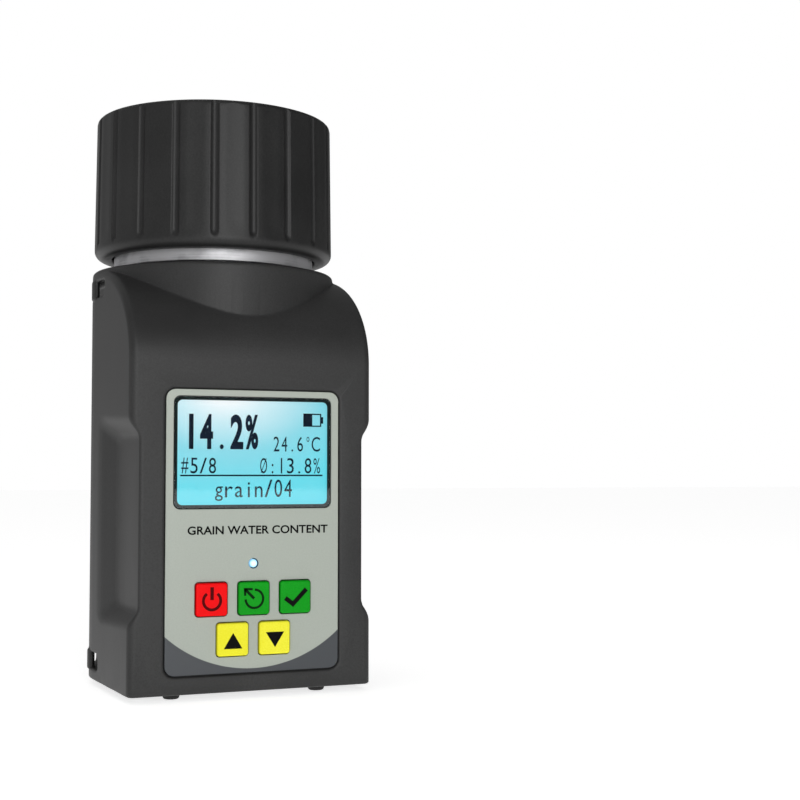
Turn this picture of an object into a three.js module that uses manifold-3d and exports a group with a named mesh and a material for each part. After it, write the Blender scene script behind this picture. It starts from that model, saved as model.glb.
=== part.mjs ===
// A hand-held grain moisture meter. A moulded housing carries a display, a status lamp and five
// keys in front and a battery door behind. The measuring cup stands in its top under a screw cap,
// and a sprung plate in the cap presses on the grain.
// Millimetres, +Z up, the front facing -Y. Everything is built about the cup's axis with z = 0 at
// the housing's lower edge, and the finished group is moved so that it stands centred on its feet.

import * as THREE from "three";
import { mergeVertices } from "three/addons/utils/BufferGeometryUtils.js";
import Module from "manifold-3d";

const wasm = await Module();
wasm.setup();

// Fits
const seatGap = 0.3; // between pieces that rest on each other
const slipGap = 0.35; // round pieces that slide or drop in

// Housing
const cupToBack = 9.5; // from the cup's outside to the round back, about the same axis
const cupToFront = 15.3; // from the cup's outside to the flat front
const frontTaper = 1.4; // the front corners stand this much inside the round back
const frontCorner = 2.6;
const bodyHeight = 144.6;
const wall = 2.6;
const topWall = 3;
const shoulderDepth = 50.8; // the curved shoulder is a quarter of an ellipse, seen from the side
const shoulderDrop = 34.5;

// Grip recesses in the sides
const gripDepth = 3.2;
const gripLow = 27.7;
const gripHigh = 85.1;
const gripRamp = 4.5;
const gripLength = 28.4;
const gripBackRamp = 9;

// Strap slots
const strapHeight = 5.6;
const strapToNut = 1.2; // from a slot's inner skin to the cup's ring nut
const strapScoopRadius = 60;
const strapSkin = 1.5;
const strapTopBelowEdge = 4.2;
const strapBottomLow = 3.9;
const bridgeHalfLength = 3.2;
const bridgeHalfThickness = 1.3;
const bridgeProud = 0.7;

// Feet and screws
const footHeight = 2.2;
const footRadius = 3.2;
const footStub = 2.1; // radius of the hole that a foot's stub sits in
const footHalfSpan = 25.6; // of the two front feet
const footFrontInset = 9.2; // from the front face
const footToWall = 1; // from a rear foot to the housing's wall
const footBesideScrew = 10.9; // degrees about the cup's axis from a rear foot to its screw
const baseThickness = 2.6;
const baseRecess = 0.4;
const screwRadius = 1.5;
const screwHeadRadius = 2.9;
const screwHeadHeight = 1.8;
const screwHeadDepth = 0.6; // from the base's face to the top of a screw's head
const screwPostRadius = 4.2;
const screwPostHeight = 11;
const screwPostInsetY = 8.5;
const rearPostAngle = 57;
const coverBossRadius = 5;
const coverBossHeight = 2.5;

// Front label, display and keys
const labelBesideWindow = 2.8;
const labelLow = 6.3;
const labelBelowShoulder = 9.8;
const labelCorner = 3.2;
const labelThickness = 0.6;
const labelRecess = 1.2;
const windowHalfWidth = 27.4;
const windowBelowLabelTop = 2.4;
const windowHeight = 37;
const windowLedge = 0.6;
const keyWidth = 10.7;
const keyHeight = 10.9;
const keyGapX = 3.9;
const keyGapZ = 2.5;
const keyRowLow = 12;
const keyCorner = 1;
const keyProud = 1;
const keyTravel = 0.6;
const keyFlange = 1; // how far a key's flange reaches behind the wall
const keyStemRadius = 1.8;
const lampRadius = 1.4;
const lampAboveKeys = 6.1;
const lampProud = 0.3;

// Circuit board and display module
const boardSideGap = 0.3; // to the screw posts
const boardThickness = 1.6;
const boardLow = 12;
const boardBehindDisplay = 1.2;
const boardAboveDisplay = 14;
const boardPostRadius = 3;
const boardPostInset = 3;
const boardScrewRadius = 1.1;
const glassThickness = 1.8;
const backlightThickness = 0.9;
const frameFloor = 1.2;
const frameSide = 1.2;
const frameEdge = 1;
const frameBesideWindow = 3.1;
const frameAboveWindow = 1.7;
const switchSize = 6;
const switchDepth = 2.5;
const switchButton = 0.5;

// Battery cells, tray and door
const cellRadius = 7.25;
const cellLength = 50.5;
const cellGap = 0.7;
const cellNub = 1.2;
const cellToDoor = 2.15;
const trayWall = 1.6;
const trayAbovePosts = 0.9;
const trayDepthBehindCells = 3.3;
const springAllowance = 3.6; // a contact spring at one end of a cell
const plateAllowance = 1.4; // a contact plate at the other end
const doorBelowTray = 4;
const doorAboveTray = 2.8;
const doorMargin = 1.7; // from the cells' outer side to the door's edge
const doorThickness = 2.2;
const doorGap = 0.35;
const doorCorner = 2;
const doorSlotInset = 4.2;
const doorSlotWidth = 2.1;
const doorSlotMargin = 13.15; // from the door's lower and upper edges
const hookHeight = 5;
const hookInset = 9;
const hookReach = 1.55;
const hookThickness = 1.3;
const nailNotchRadii = [4, 2.6, 7.9];

// Measuring cup
const cupInner = 32;
const cupWall = 2.2;
const cupFloorThickness = 3;
const cupAboveTray = 10.6; // room for the electrode's stud and nut
const gasketThickness = 0.6;
const collarProud = 2;
const collarHeight = 6;
const ringNutWidth = 2.2;
const ringNutHeight = 4;
const electrodeRadius = 9;
const electrodeBelowPlate = 10.9;
const studRadius = 3;
const studLength = 8; // below the cup
const nutRadius = 6.2;
const nutHeight = 3.7;
const bushRadius = 7.7;
const bushFlange = 3.3;
const bushFlangeHeight = 2;
const sensorRadius = 1.8;
const sensorAt = [-16, -12];
const sensorHeight = 9;

// Screw thread between cup and cap: right-handed
const threadPitch = 5;
const threadTurns = 2;
const threadCrest = 1.5; // radial height of the cup's thread
const threadCut = 0.5; // radial gap between the cup's crests and the cap's bore, beside its ridge
const capThreadReach = 2; // radial height of the cap's thread
const threadBelowRim = 2;
const threadAboveCollar = 2.2;

// Cap
const capWall = 6.2;
const capDraft = 0.65;
const capHeight = 50.8;
const capAboveBody = 5.2;
const capTop = 4;
const capBottomRound = 3.2;
const capGrooves = 20;
const grooveRadius = 1.7;
const grooveDepth = 0.8;
const grooveLip = 3.6; // plain band under the grooves
const grooveTurn = 1.8; // degrees from the cup's right-hand side to the first groove
const bossWall = 3.6;
const bossHeight = 18.6;
const seatBelowTop = 10; // where the spring's seat rests inside the boss
const seatThickness = 2.1;
const stemRadius = 4.7;
const stemGap = 0.5;
const clipWidth = 2.8; // how far the stem's clip stands out from the stem
const clipThickness = 1;
const clipRoom = 1.5; // round the clip, above the seat
const clipRoof = 2.7; // thickness over that room
const plateGap = 1.5; // between the plate's edge and the cup
const plateBelowRim = 11.5;
const plateThickness = 3;
const hubWall = 3.8;
const hubHeight = 3.5;
const plateTravel = 6;
const springToHub = 1.1;
const springToBoss = 1.8;
const springWire = 1;
const springTurns = 6;

// Heights and radii that follow from the values above
const cupOuter = cupInner + cupWall;
const rearRadius = cupOuter + cupToBack;
const frontHalfWidth = rearRadius - frontTaper;
const strapDepth = cupToBack - ringNutWidth - strapSkin - strapToNut;
const frontDepth = cupOuter + cupToFront;
const coverTop = baseRecess + baseThickness;
const coverBossTop = coverTop + coverBossHeight;
const postLow = coverBossTop + seatGap;
const screwPostInset = wall + screwHeadRadius + seatGap;
const labelHalfWidth = windowHalfWidth + labelBesideWindow;
const labelHigh = bodyHeight - shoulderDrop - labelBelowShoulder;
const windowHigh = labelHigh - windowBelowLabelTop;
const windowLow = windowHigh - windowHeight;
const lampHeight = keyRowLow + 2 * keyHeight + keyGapZ + lampAboveKeys;
const recessFloor = labelRecess - frontDepth;
const wallBack = recessFloor + wall - labelRecess; // inner face of the front wall
const labelFace = recessFloor - seatGap - labelThickness;
const keyFace = labelFace - keyProud;
const displayDepth = 3 * seatGap + glassThickness + backlightThickness + frameFloor;
const boardFront = wallBack + seatGap + displayDepth + boardBehindDisplay;
const boardBack = boardFront + boardThickness;
const boardHigh = windowHigh + boardAboveDisplay;
const boardHalfWidth = frontHalfWidth - screwPostInset - screwPostRadius - boardSideGap;
const trayFloor = postLow + screwPostHeight + trayAbovePosts + trayWall;
const trayCeiling = trayFloor + cellLength + springAllowance + plateAllowance;
const cellX = cellRadius + cellGap / 2;
const cellY = Math.sqrt((rearRadius - doorThickness - cellToDoor - cellRadius) ** 2 - cellX ** 2);
const trayHalf = cellX + cellRadius + seatGap + trayWall;
const trayFront = cellY - cellRadius - seatGap - trayWall;
const doorLow = trayFloor - doorBelowTray;
const doorHigh = trayCeiling + doorAboveTray;
const doorHalf = 2 * cellRadius + doorMargin;
const collarRadius = cupOuter + collarProud;
const collarLow = bodyHeight + seatGap + gasketThickness + seatGap;
const collarHigh = collarLow + collarHeight;
const rim = collarHigh + threadAboveCollar + threadPitch * threadTurns + threadBelowRim;
const cupLow = trayCeiling + trayWall + cupAboveTray;
const cupFloor = cupLow + cupFloorThickness;
const capLow = bodyHeight + capAboveBody;
const capHigh = capLow + capHeight;
const capBore = cupOuter + threadCrest + threadCut + 0.8;
const capRadius = capBore + capWall;
const capTopRadius = capRadius - capDraft;
const stemHole = stemRadius + stemGap;
const stemTop = capHigh - plateTravel;
const clipRadius = stemRadius + clipWidth;
const plateRadius = cupInner - plateGap;
const plateTop = rim - plateBelowRim;
const plateHub = stemRadius + hubWall;
const springRadius = plateHub + springToHub + springWire;
const bossBore = springRadius + springWire + springToBoss;
const bossRadius = bossBore + bossWall;
const seatTop = capHigh - seatBelowTop - seatGap;
const seatLow = seatTop - seatThickness;

function solidOf(geometry) {
  const bare = geometry.clone();
  bare.deleteAttribute("normal");
  bare.deleteAttribute("uv");
  const merged = mergeVertices(bare, 1e-4);
  const corners = merged.index.array;
  const kept = [];
  for (let i = 0; i < corners.length; i += 3) {
    const [a, b, c] = corners.slice(i, i + 3);
    if (a !== b && b !== c && c !== a) kept.push(a, b, c);
  }
  const build = () =>
    new wasm.Manifold(
      new wasm.Mesh({
        numProp: 3,
        vertProperties: merged.attributes.position.array,
        triVerts: new Uint32Array(kept),
      }),
    );
  const made = build();
  if (made.volume() > 0) return made;
  kept.reverse();
  return build();
}

function geometryOf(solid) {
  const mesh = solid.getMesh();
  const geometry = new THREE.BufferGeometry();
  geometry.setAttribute("position", new THREE.BufferAttribute(mesh.vertProperties, mesh.numProp));
  geometry.setIndex(new THREE.BufferAttribute(mesh.triVerts, 1));
  const faceted = geometry.toNonIndexed();
  faceted.computeVertexNormals();
  return faceted;
}

function block([x0, x1], [y0, y1], [z0, z1]) {
  const geometry = new THREE.BoxGeometry(x1 - x0, y1 - y0, z1 - z0);
  geometry.translate((x0 + x1) / 2, (y0 + y1) / 2, (z0 + z1) / 2);
  return solidOf(geometry);
}

function post([x, y], radius, [z0, z1], sides = 24) {
  const geometry = new THREE.CylinderGeometry(radius, radius, z1 - z0, sides);
  geometry.rotateX(Math.PI / 2);
  geometry.translate(x, y, (z0 + z1) / 2);
  return solidOf(geometry);
}

// A round pin that runs front to back.
function pin([x, z], radius, [y0, y1], sides = 20) {
  const geometry = new THREE.CylinderGeometry(radius, radius, y1 - y0, sides);
  geometry.translate(x, (y0 + y1) / 2, z);
  return solidOf(geometry);
}

// A body of revolution about an upright axis through (x, y), from [radius, height] pairs.
function turned(outline, sides = 48, [x, y] = [0, 0]) {
  const points = outline.map(([radius, height]) => new THREE.Vector2(radius, height));
  if (THREE.ShapeUtils.area(points) < 0) points.reverse();
  points.push(points[0].clone());
  const geometry = new THREE.LatheGeometry(points, sides);
  geometry.rotateX(Math.PI / 2);
  geometry.translate(x, y, 0);
  return solidOf(geometry);
}

function ring(inner, outer, [z0, z1], sides = 32) {
  const outline = [[inner, z0], [outer, z0], [outer, z1], [inner, z1]];
  return turned(outline, sides);
}

function extruded(shape, length, toWorld, curveSegments) {
  const options = { depth: length, bevelEnabled: false, curveSegments };
  const geometry = new THREE.ExtrudeGeometry(shape, options);
  geometry.applyMatrix4(toWorld);
  return solidOf(geometry);
}

// Three ways to extrude an outline: drawn in plan, seen from the front, or seen from the side.
function upright(shape, [z0, z1], curveSegments = 8) {
  const toWorld = new THREE.Matrix4().makeTranslation(0, 0, z0);
  return extruded(shape, z1 - z0, toWorld, curveSegments);
}

function frontal(shape, [y0, y1], curveSegments = 8) {
  const toWorld = new THREE.Matrix4().makeRotationX(Math.PI / 2);
  toWorld.setPosition(0, y1, 0);
  return extruded(shape, y1 - y0, toWorld, curveSegments);
}

function sideways(shape, [x0, x1], curveSegments = 8) {
  const along = new THREE.Vector3(0, 1, 0);
  const up = new THREE.Vector3(0, 0, 1);
  const across = new THREE.Vector3(1, 0, 0);
  const toWorld = new THREE.Matrix4().makeBasis(along, up, across);
  toWorld.setPosition(x0, 0, 0);
  return extruded(shape, x1 - x0, toWorld, curveSegments);
}

const cornerSteps = 3;

// Rounds a convex corner of an outline drawn counter-clockwise.
function roundCorner(path, before, corner, after, radius) {
  const here = new THREE.Vector2(...corner);
  const back = new THREE.Vector2(...before).sub(here).normalize();
  const on = new THREE.Vector2(...after).sub(here).normalize();
  const half = Math.acos(back.dot(on)) / 2;
  const reach = radius / Math.tan(half);
  const centre = back.clone().add(on).setLength(radius / Math.sin(half)).add(here);
  const from = back.multiplyScalar(reach).add(here).sub(centre).angle();
  const sweep = Math.PI - 2 * half;
  for (let i = 0; i <= cornerSteps; i++) {
    const angle = from + (sweep * i) / cornerSteps;
    const x = centre.x + radius * Math.cos(angle);
    const y = centre.y + radius * Math.sin(angle);
    if (i === 0 && !path.curves.length) path.moveTo(x, y);
    else path.lineTo(x, y);
  }
}

function rectangle([x0, x1], [y0, y1], radius) {
  const corners = [[x0, y0], [x1, y0], [x1, y1], [x0, y1]];
  const shape = new THREE.Shape();
  corners.forEach((corner, i) => {
    roundCorner(shape, corners[(i + 3) % 4], corner, corners[(i + 1) % 4], radius);
  });
  shape.closePath();
  return shape;
}

function polygon(points) {
  return new THREE.Shape(points.map(([x, y]) => new THREE.Vector2(x, y)));
}

// A coil for springs.
class Helix extends THREE.Curve {
  constructor(radius, turns, [low, high], [x, y] = [0, 0]) {
    super();
    Object.assign(this, { radius, turns, low, high, x, y });
  }

  getPoint(t) {
    const angle = 2 * Math.PI * this.turns * t;
    const height = this.low + (this.high - this.low) * t;
    const px = this.x + this.radius * Math.cos(angle);
    const py = this.y + this.radius * Math.sin(angle);
    return new THREE.Vector3(px, py, height);
  }
}

function tube(path, radius, steps) {
  const section = new THREE.Shape();
  section.absarc(0, 0, radius, 0, 2 * Math.PI, false);
  const options = { extrudePath: path, steps, curveSegments: 3, bevelEnabled: false };
  return solidOf(new THREE.ExtrudeGeometry(section, options));
}

function lead(points) {
  const path = new THREE.CatmullRomCurve3(points.map((p) => new THREE.Vector3(...p)));
  return tube(path, 0.8, 10);
}

// A thread ridge: a trapezium swept down a right-handed helix, ending at the height top.
function threadRidge(rootRadius, crestRadius, top, turns) {
  const wide = 1.2;
  const narrow = 0.7;
  const section = polygon([
    [rootRadius, -wide],
    [crestRadius, -narrow],
    [crestRadius, narrow],
    [rootRadius, wide],
  ]);
  const steps = Math.round(24 * turns);
  const geometry = new THREE.ExtrudeGeometry(section, { depth: 1, steps, bevelEnabled: false });
  const spots = geometry.attributes.position;
  for (let i = 0; i < spots.count; i++) {
    const angle = -2 * Math.PI * turns * spots.getZ(i);
    const radius = spots.getX(i);
    const height = top + spots.getY(i) - threadPitch * turns * spots.getZ(i);
    spots.setXYZ(i, radius * Math.cos(angle), radius * Math.sin(angle), height);
  }
  return solidOf(geometry);
}

// The housing's plan: a flat front, sides that run straight to the round back, and a round back.
function planOutline(inset) {
  const radius = rearRadius - inset;
  const halfWidth = frontHalfWidth - inset;
  const front = inset - frontDepth;
  const corner = Math.max(frontCorner - inset, 0.4);
  const touch = Math.acos(radius / Math.hypot(halfWidth, front)) + Math.atan2(front, halfWidth);
  const right = [radius * Math.cos(touch), radius * Math.sin(touch)];
  const left = [-right[0], right[1]];
  const shape = new THREE.Shape();
  shape.absarc(0, 0, radius, touch, Math.PI - touch, false);
  roundCorner(shape, left, [-halfWidth, front], [halfWidth, front], corner);
  roundCorner(shape, [-halfWidth, front], [halfWidth, front], right, corner);
  shape.closePath();
  return shape;
}

// The housing seen from the side, with the shoulder, kept in by skin at the front and roof above.
function sideOutline(skin, roof) {
  const shape = new THREE.Shape();
  const centre = shoulderDepth - frontDepth;
  shape.moveTo(skin - frontDepth, -1);
  shape.lineTo(rearRadius + 1, -1);
  shape.lineTo(rearRadius + 1, bodyHeight - roof);
  shape.absellipse(
    centre,
    bodyHeight - shoulderDrop,
    shoulderDepth - skin,
    shoulderDrop - roof,
    Math.PI / 2,
    Math.PI,
    false,
  );
  shape.closePath();
  return shape;
}

function housingForm(skin, roof, low) {
  const facetMargin = 0.12; // keeps the column's facets inside the round back
  const span = [low, bodyHeight - roof];
  const plan = upright(planOutline(skin), span, 16);
  const side = sideways(sideOutline(skin, roof), [-2 * frontHalfWidth, 2 * frontHalfWidth], 7);
  const column = post([0, 0], rearRadius - skin - facetMargin, span, 48);
  return plan.intersect(side).add(column);
}

// The space of one grip recess, grown inwards by skin. Its floor, both ends and its back slope.
function gripSpace(side, skin) {
  const past = 6; // how far the cutting shapes reach beyond the housing
  const floor = frontHalfWidth - gripDepth - skin;
  const out = rearRadius + past;
  const reach = out - floor;
  const low = gripLow - skin;
  const high = gripHigh + skin;
  const endRise = (gripRamp / gripDepth) * reach;
  const front = -frontDepth - past;
  const back = gripLength - frontDepth + skin;
  const backEnd = back + (gripBackRamp / gripDepth) * reach;
  const fromFront = polygon([
    [side * floor, low],
    [side * floor, high],
    [side * out, high + endRise],
    [side * out, low - endRise],
  ]);
  const plan = polygon([
    [side * floor, front],
    [side * floor, back],
    [side * out, backEnd],
    [side * out, front],
  ]);
  const tall = frontal(fromFront, [front, backEnd]);
  return tall.intersect(upright(plan, [low - endRise, high + endRise]));
}

// Strap slots are level scoops by a large round cutter, crossed by a bridge.
const strapSlots = [-1, 1].flatMap((side) => [
  { side, low: bodyHeight - strapTopBelowEdge - strapHeight, scoopAngle: 6, bridgeAngle: 3 },
  { side, low: strapBottomLow, scoopAngle: 10.5, bridgeAngle: 7.5 },
]);

function aroundCup(side, degrees, radius) {
  const angle = THREE.MathUtils.degToRad(degrees);
  return [side * radius * Math.cos(angle), radius * Math.sin(angle)];
}

function strapScoop({ side, low, scoopAngle }, skin) {
  const centre = aroundCup(side, scoopAngle, rearRadius - strapDepth + strapScoopRadius);
  const span = [low - skin, low + strapHeight + skin];
  return post(centre, strapScoopRadius + skin, span, 96);
}

function strapBridge({ side, low, bridgeAngle }) {
  const radius = rearRadius + bridgeProud - bridgeHalfThickness;
  const [x, y] = aroundCup(side, bridgeAngle, radius);
  const shape = new THREE.Shape();
  const lean = side * THREE.MathUtils.degToRad(bridgeAngle);
  shape.absellipse(x, y, bridgeHalfThickness, bridgeHalfLength, 0, 2 * Math.PI, false, lean);
  return upright(shape, [low - 1.4, low + strapHeight + 1.4], 6);
}

const sideNames = { [-1]: "left", [1]: "right" };

const screwPosts = [-1, 1].flatMap((side) => [
  {
    name: `front_${sideNames[side]}`,
    at: [side * (frontHalfWidth - screwPostInset), screwPostInsetY - frontDepth],
  },
  {
    name: `rear_${sideNames[side]}`,
    at: aroundCup(side, rearPostAngle, rearRadius - screwPostInset),
  },
]);

const footRearRadius = rearRadius - wall - footToWall - footRadius;
const footRearAngle = rearPostAngle - footBesideScrew;
const feet = [-1, 1].flatMap((side) => [
  { name: `front_${sideNames[side]}`, at: [side * footHalfSpan, footFrontInset - frontDepth] },
  { name: `rear_${sideNames[side]}`, at: aroundCup(side, footRearAngle, footRearRadius) },
]);

const boardPosts = [-1, 1].flatMap((side) => {
  const x = side * (boardHalfWidth - boardPostInset);
  return [
    { name: `lower_${sideNames[side]}`, at: [x, boardLow + boardPostInset] },
    { name: `upper_${sideNames[side]}`, at: [x, boardHigh - boardPostInset] },
  ];
});

const keyColumn = keyWidth + keyGapX;
const keyRow = keyHeight + keyGapZ;
const lowerRow = keyRowLow + keyHeight / 2;
const keys = [
  { name: "power", finish: "redKey", at: [-keyColumn, lowerRow + keyRow] },
  { name: "return", finish: "greenKey", at: [0, lowerRow + keyRow] },
  { name: "accept", finish: "greenKey", at: [keyColumn, lowerRow + keyRow] },
  { name: "up", finish: "yellowKey", at: [-keyColumn / 2, lowerRow] },
  { name: "down", finish: "yellowKey", at: [keyColumn / 2, lowerRow] },
];

function centred([x, z], width, height, radius) {
  return rectangle([x - width / 2, x + width / 2], [z - height / 2, z + height / 2], radius);
}

// The hole that a key passes through, in the label and in the wall behind it.
function keyHole(key) {
  const grow = 2 * slipGap;
  return centred(key.at, keyWidth + grow, keyHeight + grow, keyCorner + slipGap);
}

function doorOutline(grow) {
  const corner = doorCorner + grow;
  return rectangle([-doorHalf - grow, doorHalf + grow], [doorLow - grow, doorHigh + grow], corner);
}

// A half-moon hollow beside the door, for lifting its edge.
function nailNotch() {
  const proud = 0.9;
  const x = doorHalf + doorGap;
  const geometry = new THREE.SphereGeometry(1, 16, 10);
  geometry.scale(...nailNotchRadii);
  geometry.translate(x, Math.sqrt(rearRadius ** 2 - x ** 2) + proud, (doorLow + doorHigh) / 2);
  return solidOf(geometry);
}

function housingSpace() {
  let space = housingForm(wall, topWall, -1);
  for (const side of [-1, 1]) space = space.subtract(gripSpace(side, wall));
  for (const slot of strapSlots) space = space.subtract(strapScoop(slot, strapSkin));
  for (const { at } of screwPosts) {
    const span = [postLow, postLow + screwPostHeight];
    space = space.subtract(post(at, screwPostRadius, span));
  }
  for (const { at } of boardPosts) {
    space = space.subtract(pin(at, boardPostRadius, [-frontDepth, boardFront - seatGap]));
  }
  return space;
}

function mainHousing() {
  let shell = housingForm(0, 0, 0).subtract(housingSpace());
  for (const side of [-1, 1]) shell = shell.subtract(gripSpace(side, 0));
  for (const slot of strapSlots) {
    shell = shell.subtract(strapScoop(slot, 0)).add(strapBridge(slot));
  }

  const throughFront = [-frontDepth - 1, wallBack + 1];
  const labelSpace = rectangle(
    [-labelHalfWidth - slipGap, labelHalfWidth + slipGap],
    [labelLow - slipGap, labelHigh + slipGap],
    labelCorner,
  );
  const lightHalf = windowHalfWidth - windowLedge;
  const light = [windowLow + windowLedge, windowHigh - windowLedge];
  shell = shell.subtract(frontal(labelSpace, [-frontDepth - 1, recessFloor]));
  shell = shell.subtract(block([-lightHalf, lightHalf], throughFront, light));
  for (const key of keys) shell = shell.subtract(frontal(keyHole(key), throughFront));
  shell = shell.subtract(pin([0, lampHeight], lampRadius + slipGap, throughFront));

  const throughTop = [bodyHeight - topWall - 1, bodyHeight + 1];
  shell = shell.subtract(post([0, 0], cupOuter + seatGap, throughTop, 48));
  shell = shell.subtract(frontal(doorOutline(doorGap), [0.5 * rearRadius, rearRadius + 2], 6));
  shell = shell.subtract(nailNotch());

  const postSkin = 2; // solid end of a screw post
  for (const { at } of screwPosts) {
    const depth = [postLow - 1, postLow + screwPostHeight - postSkin];
    shell = shell.subtract(post(at, screwRadius + seatGap, depth, 16));
  }
  for (const { at } of boardPosts) {
    const depth = [wallBack - 0.4, boardFront];
    shell = shell.subtract(pin(at, boardScrewRadius + seatGap, depth, 12));
  }
  return shell;
}

// The cover's own face, four bosses for the screws and a stand that carries the battery tray.
function baseCover() {
  const plan = planOutline(wall + slipGap);
  const headSpace = [-1, baseRecess + screwHeadDepth + screwHeadHeight];
  const standHalf = cellX + 6;
  const standY = [trayFront + 1, cellY + 2];
  const standTop = trayFloor - trayWall - seatGap;
  const standWall = 1.6;
  let cover = upright(plan, [baseRecess, coverTop], 12);
  const thick = upright(plan, [baseRecess, coverBossTop], 12);
  for (const { at } of screwPosts) {
    cover = cover.add(thick.intersect(post(at, coverBossRadius, [baseRecess, coverBossTop])));
  }
  for (const slot of strapSlots) cover = cover.subtract(strapScoop(slot, strapSkin + slipGap));
  for (const { at } of feet) cover = cover.subtract(post(at, footStub, [-1, coverTop - 0.8], 16));
  const stand = block([-standHalf, standHalf], standY, [coverTop - 0.5, standTop]);
  const hollow = block(
    [standWall - standHalf, standHalf - standWall],
    [standY[0] + standWall, standY[1] - standWall],
    [coverTop, standTop + 1],
  );
  cover = cover.add(stand).subtract(hollow);
  for (const { at } of screwPosts) {
    cover = cover.subtract(post(at, screwPostRadius + seatGap, [coverBossTop, standTop + 1]));
    cover = cover.subtract(post(at, screwHeadRadius + seatGap, headSpace));
    cover = cover.subtract(post(at, screwRadius + seatGap, [0, coverBossTop + 1], 16));
  }
  return cover;
}

function foot({ at }) {
  const top = baseRecess - seatGap;
  const stubTop = coverTop - 0.8 - seatGap;
  const stub = footStub - seatGap;
  const outline = [
    [0, -footHeight],
    [0.55 * footRadius, -footHeight],
    [0.9 * footRadius, -0.62 * footHeight],
    [footRadius, top],
    [stub, top],
    [stub, stubTop],
    [0, stubTop],
  ];
  return turned(outline, 14, at);
}

function baseScrew({ at }) {
  const chamfer = 0.6;
  const head = baseRecess + screwHeadDepth;
  const under = head + screwHeadHeight - seatGap;
  const tip = postLow + screwPostHeight - 3;
  const outline = [
    [0, head],
    [screwHeadRadius - chamfer, head],
    [screwHeadRadius, head + chamfer],
    [screwHeadRadius, under],
    [screwRadius, under],
    [screwRadius, tip - screwRadius],
    [0, tip],
  ];
  const [x, y] = at;
  const drive = block([x - 1.8, x + 1.8], [y - 0.4, y + 0.4], [0, head + 0.8]);
  return turned(outline, 12, at).subtract(drive);
}

function frontOverlay() {
  const span = [labelFace, labelFace + labelThickness];
  const cut = [labelFace - 1, labelFace + labelThickness + 1];
  const shape = rectangle([-labelHalfWidth, labelHalfWidth], [labelLow, labelHigh], labelCorner);
  const paneHalf = windowHalfWidth + seatGap;
  const paneSpace = block([-paneHalf, paneHalf], cut, [windowLow - seatGap, windowHigh + seatGap]);
  let overlay = frontal(shape, span).subtract(paneSpace);
  for (const key of keys) overlay = overlay.subtract(frontal(keyHole(key), cut, 4));
  return overlay.subtract(pin([0, lampHeight], lampRadius + slipGap, cut));
}

// A key with the flange that keeps it behind the wall and the stem that works its switch.
function keyCap({ at: [x, z] }) {
  const flangeFront = wallBack + seatGap;
  const flangeBack = flangeFront + 1.2;
  const stemBack = boardFront - seatGap - switchDepth - switchButton - keyTravel - 0.1;
  const outline = centred([x, z], keyWidth, keyHeight, keyCorner);
  const halfFlange = keyWidth / 2 + keyFlange;
  const flange = block(
    [x - halfFlange, x + halfFlange],
    [flangeFront, flangeBack],
    [z - keyHeight / 2, z + keyHeight / 2],
  );
  const stem = pin([x, z], keyStemRadius, [flangeBack - 0.2, stemBack], 12);
  return frontal(outline, [keyFace, flangeFront + 0.2], 4).add(flange).add(stem);
}

function tactSwitch({ at: [x, z] }) {
  const back = boardFront - seatGap;
  const front = back - switchDepth;
  const half = switchSize / 2;
  const body = block([x - half, x + half], [front, back], [z - half, z + half]);
  return body.add(pin([x, z], keyStemRadius - 0.1, [front - switchButton, front + 0.2], 12));
}

function statusLamp() {
  const at = [0, lampHeight];
  const back = boardFront - seatGap;
  const flange = pin(at, lampRadius + 0.7, [wallBack + 0.8, back], 12);
  return pin(at, lampRadius, [labelFace - lampProud, back], 12).add(flange);
}

const frameHalf = windowHalfWidth + frameBesideWindow;
const frameSpan = [windowLow - frameAboveWindow, windowHigh + frameAboveWindow];

function displayFrame() {
  const front = wallBack + seatGap;
  const inside = frameHalf - frameSide;
  const frame = block([-frameHalf, frameHalf], [front, front + displayDepth], frameSpan);
  const tray = [frameSpan[0] + frameEdge, frameSpan[1] - frameEdge];
  const depth = [front - 1, front + displayDepth - frameFloor];
  return frame.subtract(block([-inside, inside], depth, tray));
}

// The glass or the backlight, a layer inside the frame.
function displayLayer(behindFront, thickness) {
  const half = frameHalf - frameSide - seatGap;
  const front = wallBack + seatGap + behindFront;
  const inset = frameEdge + seatGap;
  const span = [frameSpan[0] + inset, frameSpan[1] - inset];
  return block([-half, half], [front, front + thickness], span);
}

function mainBoard() {
  const shape = rectangle([-boardHalfWidth, boardHalfWidth], [boardLow, boardHigh], 1.5);
  let board = frontal(shape, [boardFront, boardBack], 4);
  for (const { at } of boardPosts) {
    const hole = pin(at, boardScrewRadius + slipGap, [boardFront - 1, boardBack + 1], 12);
    board = board.subtract(hole);
  }
  return board;
}

function boardScrew({ at }) {
  const head = boardBack + seatGap;
  const shank = pin(at, boardScrewRadius, [boardFront - 4, head + 0.2], 12);
  return pin(at, 2.1 * boardScrewRadius, [head, head + 1.5], 16).add(shank);
}

function batteryTray() {
  const back = cellY + trayDepthBehindCells;
  const inside = trayHalf - trayWall;
  const floorFront = trayFront + trayWall;
  const tall = [trayFloor - trayWall, trayCeiling + trayWall];
  const outer = block([-trayHalf, trayHalf], [trayFront, back], tall);
  const space = block([-inside, inside], [floorFront, back + 1], [trayFloor, trayCeiling]);
  const ribSpan = [trayFloor - 0.2, trayCeiling + 0.2];
  const rib = block([-0.2, 0.2], [floorFront - 0.2, floorFront + 3], ribSpan);
  return outer.subtract(space).add(rib);
}

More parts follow.
